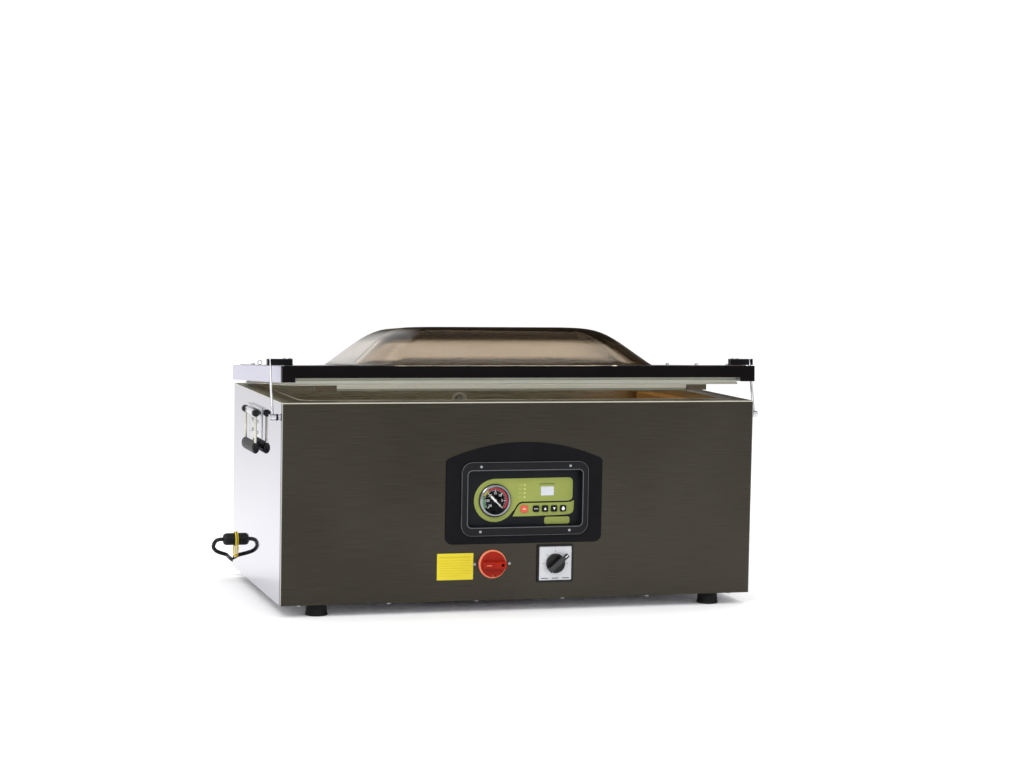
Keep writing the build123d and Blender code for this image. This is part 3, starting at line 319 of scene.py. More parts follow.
@dataclass(frozen=True)
class SmokedSheet(Finish):
    """Clear tinted sheet, darkened at the foot of its drawn dome by painted shade and at the crown by a
    painted dark reflection.

    Attributes:
        painted_foot_shade: Display colour of the painted shade at the dome's foot.
        crown: Display colour of the painted dark reflection at its crown.
        slope: Rise per metre towards the front of the plate that the dome stands on.
        plate: Height of that plate where it crosses the cabinet's middle.
        drawn: Height of the dome.
    """

    painted_foot_shade: str = "9b8d7b"
    crown: str = "63574a"
    slope: float = 0.0604
    plate: float = 0.4527
    drawn: float = 0.074

    def colour(self, tree: Tree, patch: Socket, fine: Socket) -> Socket:
        """Colour the sheet by its height over the plate, painting shade at the foot and a dark reflection at
        the crown.

        Args:
            tree: The tree to add to.
            patch: The patch noise.
            fine: The grain noise.

        Returns:
            The base colour.
        """
        base = super().colour(tree, patch, fine)
        where = add_node(tree, "TexCoord", {}, {}).outputs["Object"]
        level = {0: where, 1: (0.0, self.slope, 1.0)}
        height = add_node(tree, "VectorMath", {"operation": "DOT_PRODUCT"}, level).outputs["Value"]
        # Painted shade at the foot, then a painted dark reflection at the crown.
        flank = blend(tree, self.step(tree, height, 0.02, 0.10), tone(self.painted_foot_shade), base)
        return blend(tree, self.step(tree, height, 0.58, 0.70), flank, tone(self.crown))

    def step(self, tree: Tree, value: Socket, low: float, high: float) -> Socket:
        """A soft step between two shares of the dome's height."""
        return ramp(tree, value, (self.plate + low * self.drawn, self.plate + high * self.drawn))


BRUSHED_ACROSS = (14.0, 1500.0, 1500.0)
BRUSHED_DEEP = (1500.0, 14.0, 1500.0)
PRINTED = (1500.0,) * 3
MOULDED = (1600.0,) * 3
SATIN = (900.0,) * 3
PLATED = (700.0,) * 3

# The front sheet's dark tones are painted reflection of a dark room, much darker than the same steel on the
# sides; its edge tone is a painted highlight.
FRONT_STEEL = SteelWithPaintedEdgeHighlight(
    "front_steel", "45423b", "2f2c26", 1.0, (0.26, 0.36), BRUSHED_ACROSS, 2.3, 0.00001, edge="c9c6bd"
)
SIDE_STEEL = Finish("side_steel", "b0afb8", "a8a7b1", 1.0, (0.025, 0.05), BRUSHED_DEEP, 4.0, 0.000001)
DECK_STEEL = Finish("deck_steel", "cfccbd", "bbb8a9", 1.0, (0.24, 0.34), BRUSHED_ACROSS, 6.0, 0.000005)
TUB_STEEL = Finish("tub_steel", "dedac6", "cdc8b2", 1.0, (0.22, 0.34), BRUSHED_ACROSS, 6.0, 0.000008)
BACK_STEEL = Finish("back_steel", "cfcdd2", "bfbdc3", 1.0, (0.24, 0.34), BRUSHED_ACROSS, 6.0, 0.000008)
ZINC = Finish("zinc_plate", "d9d9dc", "b7b8bd", 1.0, (0.14, 0.28), PLATED, 40.0, 0.00001)
FRAME_ALLOY = Finish("frame_alloy", "cfcddc", "bdbbcd", 0.85, (0.3, 0.42), BRUSHED_DEEP, 7.0, 0.00001)
BLACK_ALLOY = Finish(
    "black_anodised", "0f0b0d", "080607", 0.0, (0.3, 0.42), BRUSHED_ACROSS, 12.0, 0.00001, specular=0.05
)
CAST_ALLOY = Finish("machined_alloy", "b9bbbd", "a0a2a5", 1.0, (0.3, 0.45), (500.0,) * 3, 30.0, 0.00002)
BLACK_MOULDED = Finish(
    "black_moulding", "131317", "0c0c0f", 0.0, (0.34, 0.46), MOULDED, 25.0, 0.00003, specular=0.08
)
FRAME_MOULDED = Finish(
    "grey_black_moulding", "1b1b1e", "131316", 0.0, (0.3, 0.42), MOULDED, 25.0, 0.00004, specular=0.13
)
KNOB_BLACK = Finish("knob_black", "151516", "0b0b0c", 0.0, (0.26, 0.34), SATIN, 30.0, 0.00002, specular=0.3)
GRIP_BLACK = Finish(
    "grip_black", "18181a", "0d0d0f", 0.0, (0.4, 0.55), (1200.0,) * 3, 40.0, 0.00004, specular=0.3
)
RUBBER_BLACK = Finish("foot_rubber", "161617", "0e0e0f", 0.0, (0.6, 0.75), SATIN, 30.0, 0.00005, specular=0.2)
SHEATH = Finish("cord_sheath", "131315", "0a0a0c", 0.0, (0.34, 0.46), PLATED, 25.0, 0.00003, specular=0.3)
YELLOW_NYLON = Finish(
    "yellow_nylon", "f4dc2e", "e6cb1e", 0.0, (0.35, 0.45), SATIN, 30.0, 0.00002, subsurface=0.1
)
SILICONE = Finish(
    "white_silicone", "d6d7cb", "c8c9bc", 0.0, (0.35, 0.5), (400.0,) * 3, 12.0, 0.00003, subsurface=0.2
)
HOLDER = Finish(
    "grey_green_silicone", "a3a697", "919586", 0.0, (0.38, 0.5), (400.0,) * 3, 10.0, 0.00003, subsurface=0.15
)
COUNTER_WHITE = Finish(
    "counter_white", "ecebdd", "dedccd", 0.0, (0.35, 0.45), (500.0, 60.0, 500.0), 12.0, 0.00002
)
END_BROWN = Finish("end_block", "6c6049", "574c38", 0.0, (0.4, 0.55), PLATED, 30.0, 0.00004)
TAPE = Woven("release_tape", "a9804a", "86612f", 0.0, (0.5, 0.65), SATIN, 30.0, 0.00004)
BOARD = Finish("tan_board", "edb96c", "d8a057", 0.0, (0.5, 0.65), (300.0, 40.0, 300.0), 14.0, 0.00005)
# The dome's darker foot and crown are painted shade and painted reflection.
SMOKED = SmokedSheet(
    "smoked_acrylic",
    "cdc2b3",
    "c4b8a8",
    rough=(0.008, 0.02),
    grain=(300.0, 300.0, 300.0),
    patches=5.0,
    relief=0.000001,
    transmission=1.0,
    ior=1.49,
    specular=0.3,
)
WHITE_PLASTIC = Finish("white_plastic", "f8f8f2", "e9e9e3", 0.0, (0.35, 0.45), SATIN, 25.0, 0.00002)
OVERLAY_DARK = Finish(
    "overlay_dark", "191c20", "101316", 0.0, (0.3, 0.4), PRINTED, 18.0, 0.00002, specular=0.12
)
MEMBRANE = Finish("green_membrane", "929b48", "808a3b", 0.0, (0.34, 0.44), PRINTED, 22.0, 0.00002)
MEMBRANE_LINE = Finish("membrane_line", "5f6d22", "55621d", 0.0, (0.4, 0.5), PRINTED, 22.0, 0.00001)
DISPLAY_WHITE = Finish(
    "display_window", "c9ccd2", "b9bcc4", 0.0, (0.15, 0.25), (400.0,) * 3, 60.0, 0.00001, coat=0.4
)
LAMP = Finish("indicator_lamp", "c3cb7c", "b4bd6c", 0.0, (0.2, 0.3), SATIN, 80.0, 0.00001, coat=0.3)
STOP_RED = Finish("stop_red", "d4573c", "c24a30", 0.0, (0.35, 0.45), (1200.0,) * 3, 40.0, 0.00002)
KEY_BLACK = Finish(
    "key_black", "101114", "08090a", 0.0, (0.35, 0.45), (1200.0,) * 3, 40.0, 0.00002, specular=0.2
)
MARK_WHITE = Finish("mark_white", "f2f3f0", "e2e4e0", 0.0, (0.4, 0.5), SATIN, 60.0, 0.00001)
DIAL_BLACK = Finish("dial_black", "131417", "0a0b0d", 0.0, (0.45, 0.55), SATIN, 60.0, 0.00001, specular=0.1)
ARC_RED = Finish("arc_red", "c43a44", "b02f3a", 0.0, (0.4, 0.5), SATIN, 60.0, 0.00001)
ARC_YELLOW = Finish("arc_yellow", "d8c84a", "c6b63c", 0.0, (0.4, 0.5), SATIN, 60.0, 0.00001)
ARC_GREEN = Finish("arc_green", "4fa860", "409350", 0.0, (0.4, 0.5), SATIN, 60.0, 0.00001)
LENS = Finish(
    "gauge_glass",
    "fdfdfd",
    "f9fafa",
    0.0,
    (0.01, 0.02),
    (200.0,) * 3,
    20.0,
    0.000001,
    0.0,
    1.0,
    1.04,
    specular=0.1,
)
LABEL_YELLOW = Finish("label_yellow", "d8c834", "ccbb2a", 0.0, (0.4, 0.5), SATIN, 14.0, 0.00001, specular=0.2)
LABEL_INK = Finish("label_ink", "cdb930", "beab28", 0.0, (0.5, 0.6), SATIN, 14.0, 0.00001, specular=0.2)
SWITCH_RED = Finish("switch_red", "a21d08", "821606", 0.0, (0.24, 0.34), SATIN, 30.0, 0.00002, specular=0.15)
SWITCH_ORANGE = Finish("switch_collar", "ee8a66", "e37a55", 0.0, (0.3, 0.4), SATIN, 30.0, 0.00002)
STRAP_STEEL = Finish("strap_steel", "dcd9cc", "c2beb0", 1.0, (0.22, 0.34), PLATED, 60.0, 0.00001)
PANEL_SCREW = Finish("panel_screw", "a4a6aa", "7f8186", 1.0, (0.2, 0.3), PLATED, 60.0, 0.00001)
# Lighter grey standing in for highlights on the black knob's grip bar.
KNOB_GRIP_PAINTED_HIGHLIGHT = Finish("knob_grip_painted_highlight", "333437", "242528", 0.0, (0.3, 0.4), SATIN, 30.0, 0.00002, specular=0.4)
# Chrome darkened in its base colour as a painted dark reflection.
GAUGE_CHROME = Finish("gauge_chrome", "9a9ba0", "77797e", 1.0, (0.1, 0.18), (600.0,) * 3, 60.0, 0.000005)
# Mid-grey painted highlight for the rounded edges of the black window frame.
LIP_PAINTED_HIGHLIGHT = Finish("lip_painted_highlight", "55565a", "46474b", 0.0, (0.3, 0.4), SATIN, 40.0, 0.00001)
PLATE_SILVER = Finish(
    "printed_plate", "cdced2", "bcbdc2", 0.25, (0.34, 0.44), (40.0, 900.0, 900.0), 14.0, 0.00001
)
PUMP_PAINT = Finish("pump_paint", "5c6670", "4b545d", 0.0, (0.4, 0.55), (300.0,) * 3, 14.0, 0.0001)
BOARD_GREEN = Finish("board_green", "1f6b3c", "175430", 0.0, (0.3, 0.4), (300.0,) * 3, 50.0, 0.00002)
SPRING_STEEL = Finish("spring_steel", "8d9096", "6e7177", 1.0, (0.25, 0.38), PLATED, 60.0, 0.00001)
# Near-black painted shade for the inside seen through openings.
VENT_PAINTED_SHADE = Finish("vent_painted_shade", "0b0b0c", "060607", 0.0, (0.7, 0.8), (300.0,) * 3, 20.0, 0.00001)
FLOOR_PAINT = Finish(
    "floor_paint", "fdfdfd", "fbfbfb", 0.0, (0.7, 0.8), (3.0,) * 3, 0.8, 0.00001, specular=0.0
)


# Mesh making


def new_piece(name: str, shape: bmesh.types.BMesh, sharp: float = 32.0) -> bpy.types.Object:
    """Turn a bmesh into a linked object with smooth shading between edges sharper than an angle.

    Args:
        name: Piece name.
        shape: The bmesh, which is freed.
        sharp: Smallest angle, in degrees, that stays a hard edge.

    Returns:
        The object.
    """
    bmesh.ops.recalc_face_normals(shape, faces=shape.faces[:])
    mesh = bpy.data.meshes.new(name)
    shape.to_mesh(mesh)
    shape.free()
    mesh.polygons.foreach_set("use_smooth", [True] * len(mesh.polygons))
    mesh.set_sharp_from_angle(angle=radians(sharp))
    piece = bpy.data.objects.new(name, mesh)
    bpy.context.scene.collection.objects.link(piece)
    return piece


def taken_shape(source: bpy.types.Curve, dist: float) -> bmesh.types.BMesh:
    """Take a curve's or text's finished surface as a bmesh, and remove the curve.

    Args:
        source: The curve or text.
        dist: Points closer than this are joined.

    Returns:
        The bmesh.
    """
    holder = bpy.data.objects.new(source.name, source)
    bpy.context.scene.collection.objects.link(holder)
    finished = holder.evaluated_get(bpy.context.evaluated_depsgraph_get())
    shape = bmesh.new()
    shape.from_mesh(bpy.data.meshes.new_from_object(finished))
    bpy.data.objects.remove(holder)
    bpy.data.curves.remove(source)
    bmesh.ops.remove_doubles(shape, verts=shape.verts[:], dist=dist)
    return shape


def skin(
    shape: bmesh.types.BMesh, rings: Sequence[Sequence[bmesh.types.BMVert]], closed: bool = False
) -> None:
    """Join rings of equally many points by quads.

    Args:
        shape: The bmesh to add to.
        rings: The rings, in order.
        closed: Whether the last ring joins the first.
    """
    pairs = list(zip(rings, rings[1:]))
    if closed:
        pairs.append((rings[-1], rings[0]))
    for lower, upper in pairs:
        for i in range(len(lower)):
            j = (i + 1) % len(lower)
            shape.faces.new((lower[i], lower[j], upper[j], upper[i]))


def middle_of(node: str, first: int = 0, second: int = 2) -> Point2:
    """The middle of a CAD node's box along two axes, X and Z unless others are named."""
    low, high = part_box(node)
    return ((low[first] + high[first]) / 2, (low[second] + high[second]) / 2)


def rounded_box(
    name: str, low: Sequence[float], high: Sequence[float], radius: float, steps: int = 3
) -> bpy.types.Object:
    """A box with rounded edges.

    Args:
        name: Piece name.
        low: Lowest corner.
        high: Highest corner.
        radius: Edge radius.
        steps: Segments round each edge.

    Returns:
        The object.
    """
    low, high = Vector(low), Vector(high)
    shape = bmesh.new()
    place = Matrix.Translation((low + high) / 2) @ Matrix.Diagonal((*(high - low), 1.0))
    bmesh.ops.create_cube(shape, size=1.0, matrix=place)
    bmesh.ops.bevel(shape, geom=shape.edges[:], offset=radius, segments=steps, profile=0.5, affect="EDGES")
    return new_piece(name, shape)


def soft_block(shape: bmesh.types.BMesh, place: Matrix, radius: float, steps: int) -> None:
    """Add a block with rounded edges to a bmesh.

    Args:
        shape: The bmesh to add to.
        place: Takes a unit cube to the block.
        radius: Edge radius.
        steps: Segments round each edge.
    """
    made = bmesh.ops.create_cube(shape, size=1.0, matrix=place)
    edges = list(dict.fromkeys(edge for vert in made["verts"] for edge in vert.link_edges))
    bmesh.ops.bevel(shape, geom=edges, offset=radius, segments=steps, profile=0.5, affect="EDGES")


def lathe(
    shape: bmesh.types.BMesh, profile: Sequence[Point2], place: Matrix, steps: int = 48
) -> None:
    """Turn a profile of radii and heights about an axis into a bmesh.

    Args:
        shape: The bmesh to add to.
        profile: Pairs of radius and height; a radius of 0 closes an end.
        place: Takes the Z axis to the piece's axis.
        steps: Points round the axis.
    """
    rings = []
    for radius, height in profile:
        count = 1 if radius == 0 else steps
        angles = [2 * pi * i / steps for i in range(count)]
        points = [Vector((radius * cos(angle), radius * sin(angle), height)) for angle in angles]
        rings.append([shape.verts.new(place @ point) for point in points])
    for lower, upper in zip(rings, rings[1:]):
        for i in range(steps):
            corners = [lower[i % len(lower)], lower[(i + 1) % len(lower)]]
            corners += [upper[(i + 1) % len(upper)], upper[i % len(upper)]]
            distinct = list(dict.fromkeys(corners))
            if len(distinct) > 2:
                shape.faces.new(distinct)
    if profile[0][0] > 0 and profile[-1][0] > 0:
        first, last = rings[0], rings[-1]
        for i in range(steps):
            shape.faces.new((first[i], first[(i + 1) % steps], last[(i + 1) % steps], last[i]))


def turned(
    name: str,
    profiles: Iterable[Sequence[Point2]],
    spots: Iterable[Sequence[float]],
    axle: Axle,
    steps: int = 48,
) -> bpy.types.Object:
    """Turned pieces of the same profiles at several spots, in one object.

    Args:
        name: Piece name.
        profiles: Closed profiles of radius and height, each turned at every spot.
        spots: Where the profiles' zero height stands.
        axle: Direction of the axis.
        steps: Points round the axis.

    Returns:
        The object.
    """
    shape = bmesh.new()
    profiles = list(profiles)
    for spot in spots:
        place = Matrix.Translation(Vector(spot)) @ axle.value
        for profile in profiles:
            lathe(shape, profile, place, steps)
    return new_piece(name, shape)


def rounded_outline(centre: Point2, size: Point2, radius: float, steps: int = 6) -> list[Point2]:
    """Points of a rectangle with round corners, anticlockwise.

    Args:
        centre: Middle.
        size: Width and height.
        radius: Corner radius.
        steps: Segments in each corner.

    Returns:
        The points.
    """
    points = []
    for corner, (sx, sy) in enumerate(((1, 1), (-1, 1), (-1, -1), (1, -1))):
        cx = centre[0] + sx * (size[0] / 2 - radius)
        cy = centre[1] + sy * (size[1] / 2 - radius)
        for i in range(steps + 1):
            angle = pi / 2 * (corner + i / steps)
            points.append((cx + radius * cos(angle), cy + radius * sin(angle)))
    return points


def arc_points(centre: Point2, radius: float, start: float, end: float, steps: int) -> list[Point2]:
    """Points along a circle's arc.

    Args:
        centre: Middle.
        radius: Radius.
        start: First angle, in degrees, anticlockwise from the right.
        end: Last angle, in degrees.
        steps: Segments.

    Returns:
        The points.
    """
    angles = [radians(start + (end - start) * i / steps) for i in range(steps + 1)]
    return [(centre[0] + radius * cos(a), centre[1] + radius * sin(a)) for a in angles]


def plate(
    name: str,
    outlines: Iterable[Sequence[Point2]],
    base: float,
    thickness: float,
    bevel: float,
    facing: Facing = Facing.OPERATOR,
) -> bpy.types.Object:
    """A flat plate cut to outlines; an outline inside another is a hole in it.

    Args:
        name: Piece name.
        outlines: Closed outlines, in X and the facing's own upward axis.
        base: Where the plate's back lies: Y for the operator's side, Z for facing up.
        thickness: Plate thickness, towards the facing.
        bevel: Edge rounding.
        facing: The way it looks.

    Returns:
        The object.
    """
    curve = bpy.data.curves.new(name, "CURVE")
    curve.dimensions = "2D"
    curve.fill_mode = "BOTH"
    curve.extrude = thickness / 2 - bevel
    curve.bevel_depth = bevel
    curve.bevel_resolution = 2
    curve.offset = -bevel
    for outline in outlines:
        spline = curve.splines.new("POLY")
        spline.points.add(len(outline) - 1)
        for point, (x, y) in zip(spline.points, outline):
            point.co = (x, y, 0.0, 1.0)
        spline.use_cyclic_u = True
    shape = taken_shape(curve, 1e-6)
    shift = (0.0, base, 0.0) if facing is Facing.OPERATOR else (0.0, 0.0, base)
    lift = Matrix.Translation((0.0, 0.0, thickness / 2))
    shape.transform(Matrix.Translation(shift) @ facing.value @ lift)
    return new_piece(name, shape, 25.0)


def ring_sweep(
    name: str, centre: Point2, size: Point2, radius: float, section: Sequence[Point2], height: float
) -> bpy.types.Object:
    """Sweep a closed section round a rounded rectangle that lies flat.

    Args:
        name: Piece name.
        centre: Middle of the rectangle.
        size: Its width and depth.
        radius: Its corner radius.
        section: Points of outward distance and height.
        height: Height of the section's zero.

    Returns:
        The object.
    """
    shape = bmesh.new()
    rings = []
    for outward, up in section:
        grown = (size[0] + 2 * outward, size[1] + 2 * outward)
        outline = rounded_outline(centre, grown, radius + outward, 8)
        rings.append([shape.verts.new((x, y, height + up)) for x, y in outline])
    skin(shape, rings, True)
    return new_piece(name, shape)


def wire(name: str, points: Sequence[Sequence[float]], radius: float) -> bpy.types.Object:
    """A round wire along points, as a mesh.

    Args:
        name: Piece name.
        points: The centreline's points.
        radius: Wire radius.

    Returns:
        The object.
    """
    curve = bpy.data.curves.new(name, "CURVE")
    curve.dimensions = "3D"
    curve.bevel_depth = radius
    curve.bevel_resolution = 4
    curve.use_fill_caps = True
    spline = curve.splines.new("POLY")
    spline.points.add(len(points) - 1)
    for point, place in zip(spline.points, points):
        point.co = (*place, 1.0)
    return new_piece(name, taken_shape(curve, 1e-7), 50.0)


def pan_head(radius: float, height: float) -> list[Point2]:
    """Profile of a pan head from its seat, with a shallow driver recess."""
    return [
        (0.0, 0.0), (radius, 0.0), (radius, height * 0.45), (radius * 0.86, height * 0.8),
        (radius * 0.55, height), (radius * 0.3, height), (radius * 0.22, height * 0.55),
        (0.0, height * 0.5),
    ]


def heads(
    shape: bmesh.types.BMesh, size: Point2, spots: Iterable[Sequence[float]], turn: Matrix, steps: int = 20
) -> None:
    """Add pan heads to a bmesh.

    Args:
        shape: The bmesh to add to.
        size: Radius and height of a head.
        spots: Where the heads are seated.
        turn: Takes the Z axis to their axis.
        steps: Points round a head.
    """
    for spot in spots:
        lathe(shape, pan_head(*size), Matrix.Translation(spot) @ turn, steps)


# Sub-assemblies


class Assembly:
    """Shared ways of placing and dressing pieces."""

    def put(
        self, piece: bpy.types.Object, finish: Finish, body: str, slot: str, replaces: Sequence[str] = ()
    ) -> bpy.types.Object:
        """Dress a piece, ride it on a body and report it.

        Args:
            piece: The piece.
            finish: Its finish.
            body: The body that it moves with.
            slot: The record's material slot; not used.
            replaces: CAD nodes that it stands for.

        Returns:
            The piece.
        """
        piece.data.materials.clear()
        piece.data.materials.append(finish.material())
        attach(piece, body)
        if replaces:
            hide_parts(*replaces)
        LOG.info("piece %s on %s", piece.name, body)
        return piece

    def dress(self, node: str, finish: Finish) -> None:
        """Give a CAD node a finish of its own."""
        holder = frame["nodes"][node]
        holder.data.materials.clear()
        holder.data.materials.append(finish.material())
        LOG.info("node %s in %s", node, finish.name)

    def dress_all(self, finishes: dict[str, Finish]) -> None:
        """Give several CAD nodes their finishes."""
        for node, finish in finishes.items():
            self.dress(node, finish)


@dataclass
class Studio(Assembly):
    """Camera, floor and lights.

    Attributes:
        eye: The camera's place.
        turn: Its turn about X, Y and Z, in degrees.
        lens: Its focal length, in millimetres.
        aim: What the lamps point at.
    """

    eye: Point3 = (-1.283, -4.4542, 0.744)
    turn: Point3 = (85.951, -1.040, -16.582)
    lens: float = 82.01
    aim: Point3 = (0.0, 0.0, 0.3)

    def build(self) -> None:
        """Set the camera first, then the floor and the lights."""
        data = bpy.data.cameras.new("camera")
        data.lens = self.lens
        data.sensor_width = 36.0
        data.clip_end = 60.0
        camera = bpy.data.objects.new("camera", data)
        camera.location = self.eye
        camera.rotation_euler = [radians(angle) for angle in self.turn]
        bpy.context.scene.collection.objects.link(camera)
        bpy.context.scene.camera = camera
        self.floor()
        self.lights()

    def floor(self) -> None:
        """A plain pale floor."""
        shape = bmesh.new()
        bmesh.ops.create_grid(shape, x_segments=2, y_segments=2, size=14.0)
        floor = new_piece("floor", shape)
        floor.data.materials.append(FLOOR_PAINT.material())

    def lamp(self, name: str, place: Point3, size: float, watts: float, shown: bool = True) -> None:
        """Add a soft square lamp.

        Args:
            name: Lamp name.
            place: Where it hangs.
            size: Side length.
            watts: Power.
            shown: Whether polished pieces mirror it.
        """
        data = bpy.data.lights.new(name, "AREA")
        data.shape = "SQUARE"
        data.size = size
        data.energy = watts
        lamp = bpy.data.objects.new(name, data)
        lamp.location = place
        lamp.rotation_euler = (Vector(self.aim) - Vector(place)).to_track_quat("-Z", "Y").to_euler()
        lamp.visible_glossy = shown
        bpy.context.scene.collection.objects.link(lamp)

    def lights(self) -> None:
        """A bright surround, whose far wall is dark to polished pieces, and soft lamps from above."""
        world = bpy.data.worlds.new("surround")
        world.use_nodes = True
        tree = world.node_tree
        back = tree.nodes["Background"]
        back.inputs["Strength"].default_value = 1.06
        where = add_node(tree, "TexCoord", {}, {}).outputs["Generated"]
        parts = add_node(tree, "SeparateXYZ", {}, {"Vector": where}).outputs
        amount = add_node(tree, "LightPath", {}, {}).outputs["Is Glossy Ray"]
        for axis, start in (("Y", (-0.08, 0.12)), ("X", (0.03, 0.22)), ("Z", (-0.02, 0.04))):
            share = ramp(tree, parts[axis], start)
            amount = add_node(tree, "Math", {"operation": "MULTIPLY"}, {0: amount, 1: share}).outputs[0]
        tree.links.new(blend(tree, amount, (1.0, 1.0, 1.0, 1.0), tone("3a332b")), back.inputs["Color"])
        bpy.context.scene.world = world
        self.lamp("key", (-2.2, -2.6, 2.9), 1.8, 60.0)
        self.lamp("top", (0.6, 0.5, 3.2), 2.2, 45.0, False)
        bpy.context.scene.view_settings.view_transform = "Standard"


@dataclass
class MainsLead(Assembly):
    """The lead from its gland to its plug, with the coil that is put away behind the cabinet.

    Attributes:
        diameter: Diameter of the lead.
        coil_centre: Middle of the coil on the surface.
        coil_mean: Radius at the middle of the coil's turns.
        half_turns: Turns in each of the coil's two layers.
        length: Length of the whole lead.
        route: Points from the gland to the coil.
        tail: Points from the coil to the plug.
    """

    diameter: float = 0.008
    coil_centre: Point2 = (-0.265, 0.345)
    coil_mean: float = 0.046
    half_turns: float = 2.5
    length: float = 1.81
    route: list[Point3] = field(default_factory=lambda: [
        (-0.491, 0.221, 0.083), (-0.503, 0.221, 0.083), (-0.509, 0.224, 0.075),
        (-0.5105, 0.2265, 0.0655), (-0.503, 0.229, 0.057), (-0.492, 0.232, 0.053),
        (-0.483, 0.239, 0.0495), (-0.4765, 0.254, 0.0455), (-0.470, 0.271, 0.038),
        (-0.458, 0.283, 0.029), (-0.440, 0.2895, 0.020), (-0.418, 0.291, 0.012),
        (-0.387, 0.2906, 0.006), (-0.352, 0.2914, 0.004), (-0.315, 0.291, 0.004),
        (-0.284, 0.2912, 0.004),
    ])
    tail: list[Point3] = field(default_factory=lambda: [
        (-0.245, 0.293, 0.012), (-0.229, 0.2934, 0.0114), (-0.211, 0.2956, 0.0104),
        (-0.192, 0.2966, 0.010),
    ])

    def coil(self) -> list[Point3]:
        """Turns of the coil: inwards on the surface, then outwards on top.

        Returns:
            The coil's points.
        """
        points = []
        outer = self.coil_mean + self.diameter
        inner = self.coil_mean - self.diameter
        per_turn = 16
        low, high = self.diameter / 2, self.diameter * 1.5
        layer = int(self.half_turns * per_turn)
        for i in range(1, layer):
            share = i / layer
            points.append(self.turn_point(i / per_turn, outer + (inner - outer) * share, low))
        for i in range(layer, 2 * layer):
            share = (i - layer) / layer
            rise = min(1.0, share * 6)
            wide = inner + (outer - inner) * min(1.0, share * 1.06)
            points.append(self.turn_point(i / per_turn, wide, low + (high - low) * rise))
        return points

    def turn_point(self, turns: float, radius: float, height: float) -> Point3:
        """A point of the coil after some turns from its front."""
        angle = -pi / 2 + 2 * pi * turns
        return (self.coil_centre[0] + radius * cos(angle), self.coil_centre[1] + radius * sin(angle), height)

    def flex(self, pieces: Sequence[str]) -> None:
        """The lead as one smooth curve.

        Args:
            pieces: Not used.
        """
        curve = bpy.data.curves.new("mains_lead", "CURVE")
        curve.dimensions = "3D"
        curve.bevel_depth = self.diameter / 2
        curve.bevel_resolution = 6
        curve.use_fill_caps = True
        spline = curve.splines.new("NURBS")
        points = self.route + self.coil() + self.tail
        spline.points.add(len(points) - 1)
        for point, place in zip(spline.points, points):
            point.co = (*place, 1.0)
        spline.order_u = 3
        spline.use_endpoint_u = True
        spline.resolution_u = 8
        lead = bpy.data.objects.new("mains_lead", curve)
        bpy.context.scene.collection.objects.link(lead)
        self.put(lead, SHEATH, "cabinet", "cord_black", ["power_cord", "cord_coil"])

    def build(self) -> None:
        """Make the gland, the tie, the plug and then the lead."""
        middle = middle_of("cord_gland", 1, 2)
        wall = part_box("side_panel_left")[0][0]
        profile = [(0.0, 0.0), (0.0138, 0.0), (0.0138, 0.0028), (0.0126, 0.0038)]
        for rib in range(6):
            start = 0.0042 + rib * 0.0026
            profile += [(0.0124, start), (0.0124, start + 0.0018)]
            profile += [(0.0119, start + 0.0021), (0.0119, start + 0.0025)]
        profile += [(0.0122, 0.0200), (0.0114, 0.0228), (0.0098, 0.0248), (0.0078, 0.0259), (0.0, 0.0259)]
        gland = turned("cord_gland_ribbed", [profile], [(wall, *middle)], Axle.MINUS_X)
        self.put(gland, GRIP_BLACK, "cabinet", "cord_black", ["cord_gland"])
        self.tie()
        self.plug()
        self.flex(["cord_gland_ribbed", "yellow_tie_band", "yellow_tie_head", "plug_moulding", "plug_blades"])

    def tie(self) -> None:
        """The yellow tie: a thin band with its square head."""
        low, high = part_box("cord_tie")
        centre = middle_of("cord_tie", 1, 2)
        size = (high[1] - low[1], high[2] - low[2])
        width = 0.0011
        middle = high[0] - width
        shape = bmesh.new()
        rings = []
        half = [(0.0, 0.8), (0.0004, 1.0), (0.0012, 1.0)]
        for inset, across in [(0.0, -0.8), *half, (0.0012, -1.0), (0.0004, -1.0)]:
            kept = (size[0] - 2 * inset, size[1] - 2 * inset)
            outline = rounded_outline(centre, kept, kept[0] / 2 - 0.00001, 10)
            rings.append([shape.verts.new((middle + across * width, y, z)) for y, z in outline])
        skin(shape, rings, True)
        self.put(new_piece("yellow_tie_band", shape), YELLOW_NYLON, "cabinet", "yellow_tie", ["cord_tie"])
        head = rounded_box(
            "yellow_tie_head",
            (middle - width - 0.0004, low[1] - 0.0032, centre[1] - 0.0085),
            (high[0] + 0.0002, low[1] + 0.0002, centre[1] - 0.0025),
            0.0006,
        )
        self.put(head, YELLOW_NYLON, "cabinet", "yellow_tie")

